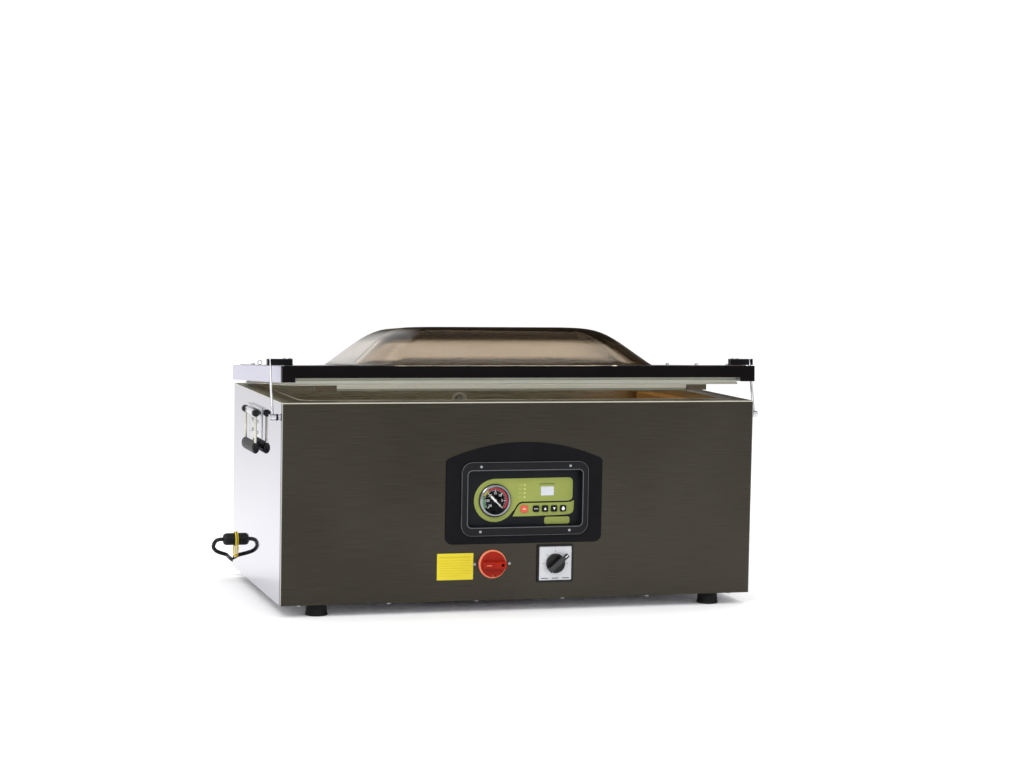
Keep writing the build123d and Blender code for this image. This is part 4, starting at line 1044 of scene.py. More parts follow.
    def plug(self) -> None:
        """The moulded plug on the coil's far side: body, ribs and blades."""
        end = self.tail[-1]
        relief = [(0.0, 0.0), (0.0054, 0.0)]
        for rib in range(4):
            start = 0.0012 + rib * 0.005
            radius = 0.0058 + rib * 0.0007
            relief += [(radius, start), (radius, start + 0.003)]
            relief += [(radius - 0.0012, start + 0.0034), (radius - 0.0012, start + 0.0046)]
        relief += [(0.0084, 0.0222), (0.0, 0.0222)]
        shape = bmesh.new()
        lathe(shape, relief, Matrix.Translation(end) @ Axle.X.value, 32)
        stations = [(0.0215, 0.70, 0.72), (0.024, 0.86, 0.9), (0.030, 0.97, 0.99), (0.040, 0.90, 1.0)]
        stations += [(0.052, 0.93, 1.0), (0.0605, 1.0, 1.0), (0.062, 0.95, 0.95)]
        rings = []
        for along, wide, tall in stations:
            outline = rounded_outline((end[1], end[2]), (0.027 * wide, 0.020 * tall), 0.0075 * tall, 6)
            rings.append([shape.verts.new((end[0] + along, y, z)) for y, z in outline])
        skin(shape, rings)
        shape.faces.new(rings[0])
        shape.faces.new(rings[-1])
        self.put(new_piece("plug_moulding", shape), GRIP_BLACK, "cabinet", "cord_black", ["mains_plug"])
        blades = bmesh.new()
        face = end[0] + 0.062
        for side in SIDES:
            middle = Vector((face + 0.0085, end[1] + side * 0.0063, end[2] - 0.0023))
            size = Matrix.Diagonal((0.017, 0.0015, 0.0063, 1.0))
            soft_block(blades, Matrix.Translation(middle) @ size, 0.0004, 2)
        pin = [(0.0, 0.0), (0.0024, 0.0), (0.0024, 0.0176), (0.0016, 0.0196), (0.0, 0.02)]
        lathe(blades, pin, Matrix.Translation((face, end[1], end[2] + 0.0052)) @ Axle.X.value, 24)
        self.put(new_piece("plug_blades", blades), ZINC, "cabinet", "zinc")


@dataclass
class Cabinet(Assembly):
    """The sheet cabinet, its feet, screws and vents."""

    fold: float = 0.004
    sheet: float = 0.0018

    def build(self) -> None:
        """Make the front skin, dress the panels and add feet, screws and vents."""
        self.front_skin()
        self.dress_all({
            "side_panel_left": SIDE_STEEL,
            "side_panel_right": SIDE_STEEL,
            "back_panel": BACK_STEEL,
            "base_pan": BACK_STEEL,
            "top_deck": DECK_STEEL,
            "hinge_brackets": BACK_STEEL,
            "hinge_pins": ZINC,
        })
        self.feet()
        self.screws()
        self.vents()

    def front_skin(self) -> None:
        """The front sheet, folded back round both sides and pierced for the control window."""
        low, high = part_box("front_panel")
        hole_low, hole_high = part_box("overlay_plate")
        columns = [(low[0], low[1] + self.fold * 2)]
        for side in SIDES:
            corner = low[0] + self.fold if side < 0 else high[0] - self.fold
            start = 180 if side < 0 else 270
            columns += arc_points((corner, low[1] + self.fold), self.fold, start, start + 90, 6)
            if side < 0:
                columns += [(hole_low[0], low[1]), (hole_high[0], low[1])]
        columns.append((high[0], low[1] + self.fold * 2))
        rows = [low[2], hole_low[2], hole_high[2], high[2]]
        hole = columns.index((hole_low[0], low[1]))
        shape = bmesh.new()
        grid = [[shape.verts.new((x, y, z)) for x, y in columns] for z in rows]
        for row in range(3):
            for column in range(len(columns) - 1):
                if row == 1 and column == hole:
                    continue
                lower, upper = grid[row], grid[row + 1]
                shape.faces.new((lower[column], lower[column + 1], upper[column + 1], upper[column]))
        faces = shape.faces[:]
        bmesh.ops.recalc_face_normals(shape, faces=faces)
        bmesh.ops.solidify(shape, geom=faces, thickness=self.sheet)
        sheet = new_piece("front_skin", shape)
        shift = low[1] - min(v.co.y for v in sheet.data.vertices)
        sheet.data.transform(Matrix.Translation((0.0, shift, 0.0)))
        self.put(sheet, FRONT_STEEL, "cabinet", "dark_steel", ["front_panel"])

    def feet(self) -> None:
        """Rubber feet with a flared sole and a rolled shoulder."""
        low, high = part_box("feet")
        radius = 0.021
        top = high[2]
        rows = (low[1] + radius, high[1] - radius)
        spots = [(x, y, 0.0) for x in (low[0] + radius, high[0] - radius) for y in rows]
        foot = [
            (0.0, 0.0005), (0.012, 0.0), (0.0195, 0.0), (0.021, 0.0015), (0.0208, 0.004),
            (0.0198, 0.0055), (0.0192, 0.016), (0.0186, top - 0.002), (0.017, top), (0.0, top),
        ]
        feet = turned("rubber_feet", [foot], spots, Axle.Z)
        self.put(feet, RUBBER_BLACK, "cabinet", "black_rubber", ["feet"])

    def screws(self) -> None:
        """Pan heads under the base, round the control window and beside the main switch."""
        low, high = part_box("front_panel")
        width, front, base = high[0] * 2, low[1], low[2]
        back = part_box("back_panel")[1][1]
        pitch = (width - 0.075) / 5
        spots = [(-width / 2 + 0.0375 + pitch * i, front + 0.012, base) for i in range(6)]
        for side in SIDES:
            x = side * (width / 2 - 0.017)
            spots += [(x, y, base) for y in (front + 0.205, front + 0.387, back - 0.021)]
        shape = bmesh.new()
        heads(shape, (0.0044, 0.0034), spots, Matrix.Rotation(pi, 4, "X"), 24)
        self.put(new_piece("pan_head_screws", shape), ZINC, "cabinet", "zinc", ["cabinet_screws"])
        shape = bmesh.new()
        x, z = middle_of("window_frame")
        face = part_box("window_frame")[0][1]
        spots = [(x + side * 0.088, face, z + up * 0.0615) for side in SIDES for up in SIDES]
        heads(shape, (0.0028, 0.0014), spots, Axle.MINUS_Y.value, 24)
        knob_x, knob_z = middle_of("main_knob")[0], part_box("switch_collar")[0][2] + 0.027
        spots = [(knob_x + side * 0.034, front, knob_z) for side in SIDES]
        heads(shape, (0.0032, 0.0018), spots, Axle.MINUS_Y.value, 24)
        self.put(new_piece("front_screws", shape), PANEL_SCREW, "cabinet", "zinc")

    def vents(self) -> None:
        """A dark sheet behind the back vents, painted shade for the cabinet's inside, and rivets round the
        back panel.
        """
        low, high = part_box("back_panel")
        # A dark sheet that paints the shade seen through the back vents.
        screen = rounded_box(
            "vent_shade_sheet",
            (-0.175, low[1] - 0.0025, low[2] + 0.062),
            (0.175, low[1] - 0.0005, low[2] + 0.158),
            0.0008,
        )
        self.put(screen, VENT_PAINTED_SHADE, "cabinet", "black_plastic")
        spots = []
        for side in SIDES:
            spots += [(side * 0.452, high[1], z) for z in (0.05, 0.14, 0.23, 0.32, 0.38)]
        spots += [(x, high[1], 0.035) for x in (-0.3, -0.15, 0.0, 0.15, 0.3)]
        shape = bmesh.new()
        heads(shape, (0.0038, 0.0022), spots, Matrix.Rotation(radians(-90), 4, "X"))
        self.put(new_piece("back_panel_screws", shape), ZINC, "cabinet", "zinc")


@dataclass
class Chamber(Assembly):
    """The sunken tub with its rim, port, filler board and seal bar."""

    bead: float = 0.0016

    def build(self) -> None:
        """Dress the tub and add its rim bead, port, board and seal bar screws."""
        self.dress_all({
            "chamber_tub": TUB_STEEL,
            "lift_cylinders": CAST_ALLOY,
            "seal_bar": CAST_ALLOY,
            "seal_tape": TAPE,
        })
        low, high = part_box("chamber_tub")
        centre = middle_of("chamber_tub", 0, 1)
        size = (high[0] - low[0] - 0.004, high[1] - low[1] - 0.004)
        angles = [2 * pi * i / 12 for i in range(12)]
        section = [(self.bead * cos(angle), self.bead * sin(angle) * 0.6) for angle in angles]
        rim = ring_sweep("chamber_rim_bead", centre, size, 0.030, section, high[2] + 0.0002)
        self.put(rim, DECK_STEEL, "cabinet", "bright_steel")
        self.port()
        self.filler()
        self.heating_strip()

    def port(self) -> None:
        """The white ring and dark socket of the vacuum port."""
        x, z = middle_of("port_fitting")
        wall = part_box("chamber_tub")[1][1] - 0.002
        ring = [(0.0105, -0.001), (0.016, -0.001), (0.016, 0.0045)]
        ring += [(0.0148, 0.006), (0.0118, 0.006), (0.0105, 0.0048)]
        port = turned("port_ring", [ring], [(x, wall, z)], Axle.MINUS_Y)
        self.put(port, WHITE_PLASTIC, "cabinet", "white_plastic", ["port_fitting"])
        shape = bmesh.new()
        hexagon = [(0.0, -0.001), (0.0104, -0.001), (0.0104, 0.003), (0.0096, 0.010)]
        hexagon += [(0.0062, 0.011), (0.0050, 0.006), (0.0, 0.006)]
        lathe(shape, hexagon, Matrix.Translation((x, wall, z)) @ Axle.MINUS_Y.value, 6)
        self.put(new_piece("port_socket", shape, 20.0), CAST_ALLOY, "cabinet", "alloy")

    def filler(self) -> None:
        """The tan board at the chamber's right end, high at the front and low at the back."""
        low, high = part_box("filler_board")
        shape = bmesh.new()
        outline = [(low[1], low[2]), (high[1], low[2]), (high[1], high[2] - 0.003), (low[1], high[2])]
        near = [shape.verts.new((low[0], y, z)) for y, z in outline]
        far = [shape.verts.new((high[0], y, z)) for y, z in outline]
        shape.faces.new(near)
        shape.faces.new(far)
        skin(shape, [near, far])
        bmesh.ops.bevel(shape, geom=shape.edges[:], offset=0.002, segments=3, profile=0.5, affect="EDGES")
        self.put(new_piece("filler_board_planed", shape), BOARD, "cabinet", "tan_board", ["filler_board"])

    def heating_strip(self) -> None:
        """Clamping screws along the seal bar's face."""
        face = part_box("seal_bar")[0][1]
        tape_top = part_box("seal_tape")[1][2]
        spots = [(x, face, tape_top - 0.016) for x in (-0.33, -0.22, -0.11, 0.0, 0.11, 0.22, 0.33)]
        shape = bmesh.new()
        heads(shape, (0.003, 0.0018), spots, Axle.MINUS_Y.value)
        self.put(new_piece("seal_bar_screws", shape), ZINC, "seal_lift", "zinc")


@dataclass
class Lid(Assembly):
    """The hinged lid: frame, smoked plate with its dome, gasket, counter bar and keepers.

    The lid's pieces are shaped with the lid shut, in the cabinet's frame, and then turned to its rest.

    Attributes:
        plate_top: Upper face of the shut plate.
        plate_base: Its lower face.
        plate_depth: Distance of its front and back edge from the cabinet's middle.
        rail: Width of the frame that stands past the plate at each side.
        dome_centre: Middle of the dome.
        dome_size: Width and depth of its foot.
        dome_run: Run of its flank along X and Y.
        dome_rise: Its height.
        dome_wall: Its wall.
    """

    plate_top: float = 0.4365
    plate_base: float = 0.4265
    plate_depth: float = 0.242
    rail: float = 0.008
    dome_centre: Point2 = (0.0, 0.011)
    dome_size: Point2 = (0.613, 0.370)
    dome_run: Point2 = (0.140, 0.104)
    dome_rise: float = 0.074
    dome_wall: float = 0.006

    def rest(self) -> Matrix:
        """The turn that takes the shut lid to its rest."""
        hinge = next(j for j in frame["record"]["behaviour"]["joints"] if j["name"] == "lid_hinge")
        pivot = Matrix.Translation(hinge["pos_m"])
        swing = Matrix.Rotation(radians(-hinge["range_deg"][0]), 4, Vector(hinge["axis"]))
        return pivot @ swing @ pivot.inverted()

    def fix(self, piece: bpy.types.Object, finish: Finish, slot: str, replaces: Sequence[str] = ()) -> None:
        """Turn a piece of the shut lid to its rest and put it on the lid."""
        piece.data.transform(self.rest())
        self.put(piece, finish, "lid", slot, replaces)

    def build(self) -> None:
        """Dress the frame and build the clear plate, seals and hardware."""
        self.dress_all({
            "lid_front_bar": BLACK_ALLOY,
            "lid_frame": FRAME_ALLOY,
            "counter_bar": COUNTER_WHITE,
            "counter_strip": HOLDER,
            "counter_end_blocks": END_BROWN,
            "lid_arms": FRAME_ALLOY,
            "keeper_blocks": BLACK_MOULDED,
        })
        self.clear_plate()
        self.seals()
        self.hardware()

    def dome_levels(self) -> list[Point2]:
        """The dome's flank, from its foot to its crown.

        Returns:
            Pairs of share of the run towards the crown, and height over the plate.
        """
        return [
            (0.0, 0.0), (0.015, 0.0006), (0.035, 0.0022), (0.060, 0.0048), (0.100, 0.0092),
            (0.200, 0.0205), (0.300, 0.0320), (0.400, 0.0432), (0.480, 0.0514), (0.560, 0.0585),
            (0.640, 0.0642), (0.720, 0.0683), (0.800, 0.0710), (0.900, 0.0730), (1.0, 0.0740),
        ]

    def dome_ring(
        self, shape: bmesh.types.BMesh, share: float, height: float, inset: float
    ) -> list[bmesh.types.BMVert]:
        """One level of the dome's skin.

        Args:
            shape: The bmesh to add to.
            share: Share of the run towards the crown.
            height: Height of the ring.
            inset: How far the ring lies inside the outer skin.

        Returns:
            The ring's points.
        """
        size = tuple(full - 2 * inset - 2 * step * share for full, step in zip(self.dome_size, self.dome_run))
        outline = rounded_outline(self.dome_centre, size, 0.072 - inset - 0.020 * share, 10)
        return [shape.verts.new((x, y, height)) for x, y in outline]

    def border(
        self, shape: bmesh.types.BMesh, ring: Sequence[bmesh.types.BMVert], level: float
    ) -> list[bmesh.types.BMVert]:
        """The plate's edge, reached outwards from the dome's foot.

        Args:
            shape: The bmesh to add to.
            ring: The dome's foot.
            level: Height of the edge.

        Returns:
            The edge's points, one for each of the foot's.
        """
        middle = self.dome_centre[1]
        half_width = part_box("lid_frame")[1][0] - self.rail
        points = []
        for vert in ring:
            x, y = vert.co.x, vert.co.y - middle
            reach = self.plate_depth - middle if y > 0 else self.plate_depth + middle
            scale = 1 / max(abs(x) / half_width, abs(y) / reach)
            points.append(shape.verts.new((x * scale, middle + y * scale, level)))
        return points

    def clear_plate(self) -> None:
        """The smoked plate drawn up into a dome, with a smooth flank and an even wall."""
        shape = bmesh.new()
        feet = []
        for inset, base in ((0.0, self.plate_top), (self.dome_wall, self.plate_base)):
            stretch = (self.plate_top + self.dome_rise - inset - base) / self.dome_rise
            rings = []
            for share, up in self.dome_levels():
                rings.append(self.dome_ring(shape, share, base + up * stretch, inset))
            skin(shape, rings)
            shape.faces.new(rings[-1])
            feet.append(rings[0])
        borders = []
        for ring, level in zip(feet, (self.plate_top, self.plate_base)):
            borders.append(self.border(shape, ring, level))
            skin(shape, [ring, borders[-1]])
        skin(shape, borders)
        self.fix(new_piece("smoked_dome_lid", shape, 40.0), SMOKED, "smoked_acrylic", ["acrylic_lid"])

    def seals(self) -> None:
        """The gasket's flared lip and its holder, each swept round the chamber's mouth."""
        centre, size = (0.0, 0.0045), (0.900, 0.467)
        lip = [
            (0.0, 0.0012), (-0.0012, 0.0), (-0.0060, 0.0012), (-0.0120, 0.0012), (-0.0168, 0.0),
            (-0.0180, 0.0012), (-0.0156, 0.0030), (-0.0148, 0.0082), (-0.0032, 0.0082),
            (-0.0024, 0.0030),
        ]
        self.fix(ring_sweep("gasket_lip", centre, size, 0.026, lip, 0.3993), SILICONE, "silicone", ["gasket"])
        holder = [
            (-0.0040, 0.0048), (-0.0040, 0.0110), (-0.0052, 0.0122), (-0.0040, 0.0134),
            (-0.0040, 0.0235), (-0.0140, 0.0235), (-0.0140, 0.0134), (-0.0128, 0.0122),
            (-0.0140, 0.0110), (-0.0140, 0.0048),
        ]
        carrier = ring_sweep("gasket_carrier", centre, size, 0.026, holder, 0.4030)
        self.fix(carrier, HOLDER, "grey_silicone", ["gasket_holder"])

    def hardware(self) -> None:
        """Plate screws through the side bars, bar end caps, keeper screws and the left eyelet."""
        shape = bmesh.new()
        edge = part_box("lid_frame")[1][0]
        spots = [(side * (edge - 0.022), y, self.plate_top) for side in SIDES for y in (-0.17, 0.0, 0.17)]
        spots += [(x, 0.228, self.plate_top) for x in (-0.40, -0.20, 0.0, 0.20, 0.40)]
        heads(shape, (0.0042, 0.0024), spots, Axle.Z.value)
        self.fix(new_piece("lid_screws", shape), ZINC, "zinc")
        for side, word in WORDS.items():
            ends = sorted((side * (edge - 0.0240), side * (edge + 0.0003)))
            corners = ((ends[0], -0.2563, 0.4050), (ends[1], -0.2405, 0.4353))
            cap = rounded_box(f"bar_end_{word}", *corners, 0.0006)
            self.fix(cap, BLACK_ALLOY, "black_alloy")
        caps = bmesh.new()
        level = self.plate_top + 0.012
        spots = [(side * (edge - inward), -0.2, level) for side in SIDES for inward in (0.014, 0.024)]
        heads(caps, (0.0032, 0.0018), spots, Axle.Z.value)
        self.fix(new_piece("keeper_screws", caps), ZINC, "zinc")
        loop = arc_points((0.010 - edge, self.plate_top + 0.0045), 0.004, 0, 360, 20)
        self.fix(wire("lid_eyelet", [(x, 0.028, z) for x, z in loop], 0.0009), ZINC, "zinc")


@dataclass
class Hinges(Assembly):
    """The wound springs on the hinge pins."""

    wire_radius: float = 0.0011
    coils: int = 5

    def build(self) -> None:
        """Wind a helix over each spring's place."""
        y, z = middle_of("hinge_pins", 1, 2)
        arm = 0.0105
        ear = 0.0255
        for side in SIDES:
            for spring_side in SIDES:
                start = side * 0.3 + spring_side * (arm + self.wire_radius)
                end = side * 0.3 + spring_side * (ear - self.wire_radius)
                steps = self.coils * 16
                points = [
                    (
                        start + (end - start) * i / steps,
                        y + 0.0056 * cos(2 * pi * i / 16),
                        z + 0.0056 * sin(2 * pi * i / 16),
                    )
                    for i in range(steps + 1)
                ]
                name = f"lid_spring_{WORDS[side]}_{'inner' if spring_side < 0 else 'outer'}"
                replaced = ["lid_springs"] if side < 0 and spring_side < 0 else []
                spring = wire(name, points, self.wire_radius)
                self.put(spring, SPRING_STEEL, "cabinet", "spring_steel", replaced)


@dataclass
class HoldDowns(Assembly):
    """The hold-down rods and their shoulder screws."""

    def build(self) -> None:
        """Dress the rods and add black spacer bands."""
        self.dress_all({"hold_down_rod_left": ZINC, "hold_down_rod_right": ZINC, "rod_pivots": ZINC})
        y, z = middle_of("rod_pivots", 1, 2)
        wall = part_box("side_panel_right")[1][0]
        for side, word in WORDS.items():
            axle = Axle.X if side > 0 else Axle.MINUS_X
            band = [(0.0054, 0.0022), (0.0062, 0.0026), (0.0062, 0.0060), (0.0054, 0.0064)]
            piece = turned(f"spacer_band_{word}", [band], [(side * wall, y, z)], axle, 32)
            self.put(piece, BLACK_MOULDED, "cabinet", "black_plastic")


@dataclass
class CarryHandles(Assembly):
    """Drop handles on both sides.

    Attributes:
        arm_radius: Radius of the bail's hinge ends.
        strap: Thickness and width of the bail's arms.
    """

    arm_radius: float = 0.003
    strap: Point2 = (0.0046, 0.0082)

    def build(self) -> None:
        """Build each plate, hinge barrel, bail and ribbed grip."""
        low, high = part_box("handle_plates")
        middle_y = (low[1] + high[1]) / 2
        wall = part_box("side_panel_right")[1][0]
        bail_low, bail_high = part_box("handle_bail_right")
        pivot_z = bail_high[2] - self.arm_radius
        out = bail_low[0] + 0.0075
        grip_z = bail_low[2] + 0.0115
        for side, word in WORDS.items():
            self.back_plate(side, word, wall, middle_y, low[2], high[2], pivot_z)
            self.bail(side, word, out, middle_y, pivot_z, grip_z)

    def back_plate(
        self, side: int, word: str, wall: float, middle: float, low: float, high: float, pivot: float
    ) -> None:
        """The back plate with its barrel and rivets.

        Args:
            side: -1 for the left, 1 for the right.
            word: The side's name.
            wall: Distance of the side panel from the middle.
            middle: The handle's middle along Y.
            low: The plate's lowest height.
            high: Its highest height.
            pivot: Height of the bail's axis.
        """
        replaced = ["handle_plates"] if side < 0 else []
        ends = sorted((side * wall, side * (wall + 0.002)))
        near, far = middle - 0.065, middle + 0.065
        sheet = rounded_box(f"handle_plate_{word}", (ends[0], near, low), (ends[1], far, high), 0.0008)
        self.put(sheet, ZINC, "cabinet", "zinc", replaced)
        barrel_x = sorted((side * (wall + 0.0018), side * (wall + 0.0150)))
        barrel = rounded_box(
            f"handle_barrel_{word}",
            (barrel_x[0], middle - 0.0465, pivot - 0.005),
            (barrel_x[1], middle + 0.0465, pivot + 0.0055),
            0.003,
            4,
        )
        self.put(barrel, ZINC, "cabinet", "zinc")
        lip_x = sorted((side * (wall + 0.0010), side * (wall + 0.0075)))
        corners = ((lip_x[0], near, high - 0.0022), (lip_x[1], far, high))
        lip = rounded_box(f"handle_lip_{word}", *corners, 0.0009)
        self.put(lip, ZINC, "cabinet", "zinc")
        shape = bmesh.new()
        turn = Axle.X.value if side > 0 else Axle.MINUS_X.value
        face = side * (wall + 0.002)
        spots = [(face, middle + along, low + up) for along in (-0.030, 0.030) for up in (0.010, 0.030)]
        heads(shape, (0.0034, 0.002), spots, turn)
        self.put(new_piece(f"handle_rivets_{word}", shape), ZINC, "cabinet", "zinc")

    def bail(self, side: int, word: str, out: float, middle: float, pivot: float, grip: float) -> None:
        """The bent wire with its ribbed grip.

        Args:
            side: -1 for the left, 1 for the right.
            word: The side's name.
            out: Distance of the bail's plane from the middle.
            middle: The handle's middle along Y.
            pivot: Height of the bail's axis.
            grip: Height of the grip's axis.
        """
        span = 0.0545
        body = f"bail_{word}"
        shape = bmesh.new()
        top, foot = pivot + 0.003, grip - 0.002
        turn = Axle.X.value if side > 0 else Axle.MINUS_X.value
        face = side * (out + self.strap[0] / 2 - 0.0004)
        for sign in SIDES:
            spot = Vector((side * out, middle + sign * span, (top + foot) / 2))
            size = Matrix.Diagonal((self.strap[0], self.strap[1], top - foot, 1.0))
            soft_block(shape, Matrix.Translation(spot) @ size, 0.0019, 4)
            heads(shape, (0.0026, 0.0013), [(face, middle + sign * span, grip + 0.0145)], turn)
        straps = new_piece(f"bail_straps_{word}", shape)
        self.put(straps, STRAP_STEEL, body, "zinc", [f"handle_bail_{word}"])
        knuckle = [
            (0.0, -0.0072), (0.0052, -0.0072), (0.0066, -0.0060), (0.0070, -0.0040), (0.0070, 0.0040),
            (0.0066, 0.0060), (0.0052, 0.0072), (0.0, 0.0072),
        ]
        spots = [(side * (out + 0.0006), middle + sign * (span + 0.0006), pivot) for sign in SIDES]
        knuckles = turned(f"bail_knuckles_{word}", [knuckle], spots, Axle.MINUS_Y, 36)
        self.put(knuckles, GRIP_BLACK, body, "black_plastic")
        shape = bmesh.new()
        half = span + 0.005
        stations, around = 44, 28
        rings = []
        for end in range(stations + 1):
            along = -half + 2 * half * end / stations
            close = min(1.0, (half - abs(along)) / 0.004)
            swell = 0.80 + 0.20 * close**0.5
            rib = 0.93 if end % 4 == 2 and abs(along) < half - 0.010 else 1.0
            ring = []
            for i in range(around):
                angle = 2 * pi * i / around
                x = side * out + 0.0074 * swell * rib * cos(angle)
                ring.append(shape.verts.new((x, middle + along, grip + 0.0114 * swell * rib * sin(angle))))
            rings.append(ring)
        shape.faces.new(rings[0])
        skin(shape, rings)
        shape.faces.new(rings[-1])
        self.put(new_piece(f"bail_grip_{word}", shape, 60.0), GRIP_BLACK, body, "black_plastic")


@dataclass
class ControlPanel(Assembly):
    """The bezel, the recessed membrane with its display, and the keys.

    Attributes:
        centre: Middle of the window.
        face: The membrane's place along Y, taken from the CAD.
    """

    centre: Point2 = (0.002, 0.216)
    face: float = 0.0

    def print_on(
        self, name: str, outlines: Sequence[Sequence[Point2]], level: float, size: Point2, finish: Finish
    ) -> None:
        """Lay thin printed shapes on the membrane.

        Args:
            name: Piece name.
            outlines: Their outlines.
            level: Place of their back along Y.
            size: Thickness and edge radius.
            finish: Their finish.
        """
        self.put(plate(name, outlines, level, *size), finish, "cabinet", "overlay")

    def at(self, x: float, z: float) -> Point2:
        """A place on the panel, from millimetres right of and above the window's centre."""
        return (self.centre[0] + x / 1000, self.centre[1] + z / 1000)

    def build(self) -> None:
        """Dress the mouldings and build the membrane, the keys and the lips."""
        self.dress_all({
            "bezel": BLACK_MOULDED,
            "window_frame": FRAME_MOULDED,
            "overlay_plate": OVERLAY_DARK,
            "control_board": BOARD_GREEN,
        })
        self.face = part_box("overlay_plate")[0][1]
        self.membrane()
        self.keys()
        self.bezel_lip()

    def membrane(self) -> None:
        """The yellow-green field, the key strip and the small badge, parted by a dark curve."""
        gauge = (-56.0, -4.5)
        field_outline = [self.at(x, z) for x, z in [
            *arc_points(gauge, 41.0, 96, 326, 40),
            (-17.0, -22.0), (-12.5, -14.5), (-8.0, -9.6), (-2.0, -7.6), (86.0, -7.2), (92.0, -6.6),
            (96.5, -4.4), (98.5, 0.0), (98.5, 30.0), (97.0, 34.5), (93.5, 37.0), (88.0, 37.6),
            (-56.0, 36.6),
        ]]
        hole = [self.at(x, z) for x, z in arc_points(gauge, 31.0, 0, 354, 48)]
        sheet = (0.0008, 0.0002)
        self.print_on("membrane_field", [field_outline, hole[::-1]], self.face, sheet, MEMBRANE)
        strip = [self.at(x, z) for x, z in [
            (-20.5, -35.6), (-15.5, -26.0), (-11.0, -17.5), (-7.0, -12.8), (-1.0, -10.6), (86.0, -10.2),
            (95.0, -9.4), (101.5, -6.4), (101.0, -24.0), (99.0, -29.5), (93.5, -32.6), (80.0, -34.0),
            (10.0, -35.6),
        ]]
        self.print_on("membrane_strip", [strip], self.face, sheet, MEMBRANE)
        badge = rounded_outline(self.at(68.0, -44.4), (0.0505, 0.0138), 0.0042)
        self.print_on("membrane_badge", [badge], self.face, sheet, MEMBRANE)
        top = self.face - sheet[0]
        lens = rounded_outline(self.at(47.8, 12.2), (0.0258, 0.0172), 0.0016)
        window = plate("display_window", [lens], top, 0.0006, 0.0002)
        self.put(window, DISPLAY_WHITE, "cabinet", "white_plastic")
        hood = [(31.0, 23.6), (33.0, 26.6), (61.0, 27.0), (63.4, 24.0)]
        hood += [(61.6, 24.4), (60.0, 25.0), (34.0, 24.8), (32.4, 23.8)]
        line = [self.at(x, z) for x, z in hood]
        self.print_on("display_hood_line", [line], top, (0.0004, 0.0001), MEMBRANE_LINE)
        rows = (24.2, 16.5, 8.9, 1.2)
        lamps = [arc_points(self.at(2.6, z), 0.0019, 0, 345, 23) for z in rows]
        self.put(plate("indicator_lamps", lamps, top, 0.0008, 0.0003), LAMP, "cabinet", "white_plastic")
        ticks = []
        for row, z in enumerate(rows):
            size = (0.0068 + 0.001 * (row % 3), 0.0007)
            ticks.append(rounded_outline(self.at(-6.0 - row % 2, z), size, 0.0003, 2))
        self.print_on("lamp_rules", ticks, top, (0.0003, 0.00008), LAMP)

    def keys(self) -> None:
        """The five keys with their generic signs, each riding on its own button."""
        for name in ("button_stop", "button_set", "button_up", "button_down", "button_hand"):
            self.dress(name, STOP_RED if name == "button_stop" else KEY_BLACK)
            outlines = self.sign(name, middle_of(name))
            mark = plate(f"{name}_sign", outlines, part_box(name)[0][1] + 0.0001, 0.0003, 0.00008)
            self.put(mark, MARK_WHITE, name, "white_plastic")

    def sign(self, name: str, middle: Point2) -> list[list[Point2]]:
        """The outlines of a key's sign.

        Args:
            name: The key.
            middle: The key's middle.

        Returns:
            Closed outlines.
        """
        x, z = middle
        if name == "button_up":
            return [[(x - 0.0026, z - 0.0022), (x + 0.0026, z - 0.0022), (x, z + 0.0026)]]
        if name == "button_down":
            return [[(x + 0.0026, z + 0.0022), (x - 0.0026, z + 0.0022), (x, z - 0.0026)]]
        if name == "button_hand":
            drop = arc_points((x, z - 0.0006), 0.0030, 150, 390, 16)
            return [[*drop, (x + 0.0012, z + 0.0036), (x - 0.0006, z + 0.0038)]]
        if name == "button_set":
            return [rounded_outline((x + i * 0.0028, z), (0.0020, 0.0012), 0.0004, 3) for i in (-1, 0, 1)]
        return [rounded_outline((x, z), (0.0062, 0.0012), 0.0004, 3)]

    def bezel_lip(self) -> None:
        """A thin rounded lip where the raised frame turns into the recess, and a rim round the frame's outer
        edge, both mid-grey as painted highlight on the black moulding.
        """
        low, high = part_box("window_frame")
        outer = rounded_outline(self.centre, (0.2296, 0.1106), 0.0098, 8)
        inner = rounded_outline(self.centre, (0.2262, 0.1072), 0.0081, 8)
        # Painted highlight along the recess's edge.
        lip = plate("recess_lip", [outer, inner[::-1]], low[1] + 0.0002, 0.0011, 0.0004)
        self.put(lip, LIP_PAINTED_HIGHLIGHT, "cabinet", "black_plastic")
        size = (high[0] - low[0], high[2] - low[2])
        outside = rounded_outline(self.centre, (size[0] + 0.0012, size[1] + 0.0012), 0.0206, 10)
        inside = rounded_outline(self.centre, (size[0] - 0.0006, size[1] - 0.0006), 0.0197, 10)
        # Painted highlight along the frame's outer edge.
        rim = plate("frame_edge", [outside, inside[::-1]], low[1] + 0.0044, 0.0040, 0.0003)
        self.put(rim, LIP_PAINTED_HIGHLIGHT, "cabinet", "black_plastic")


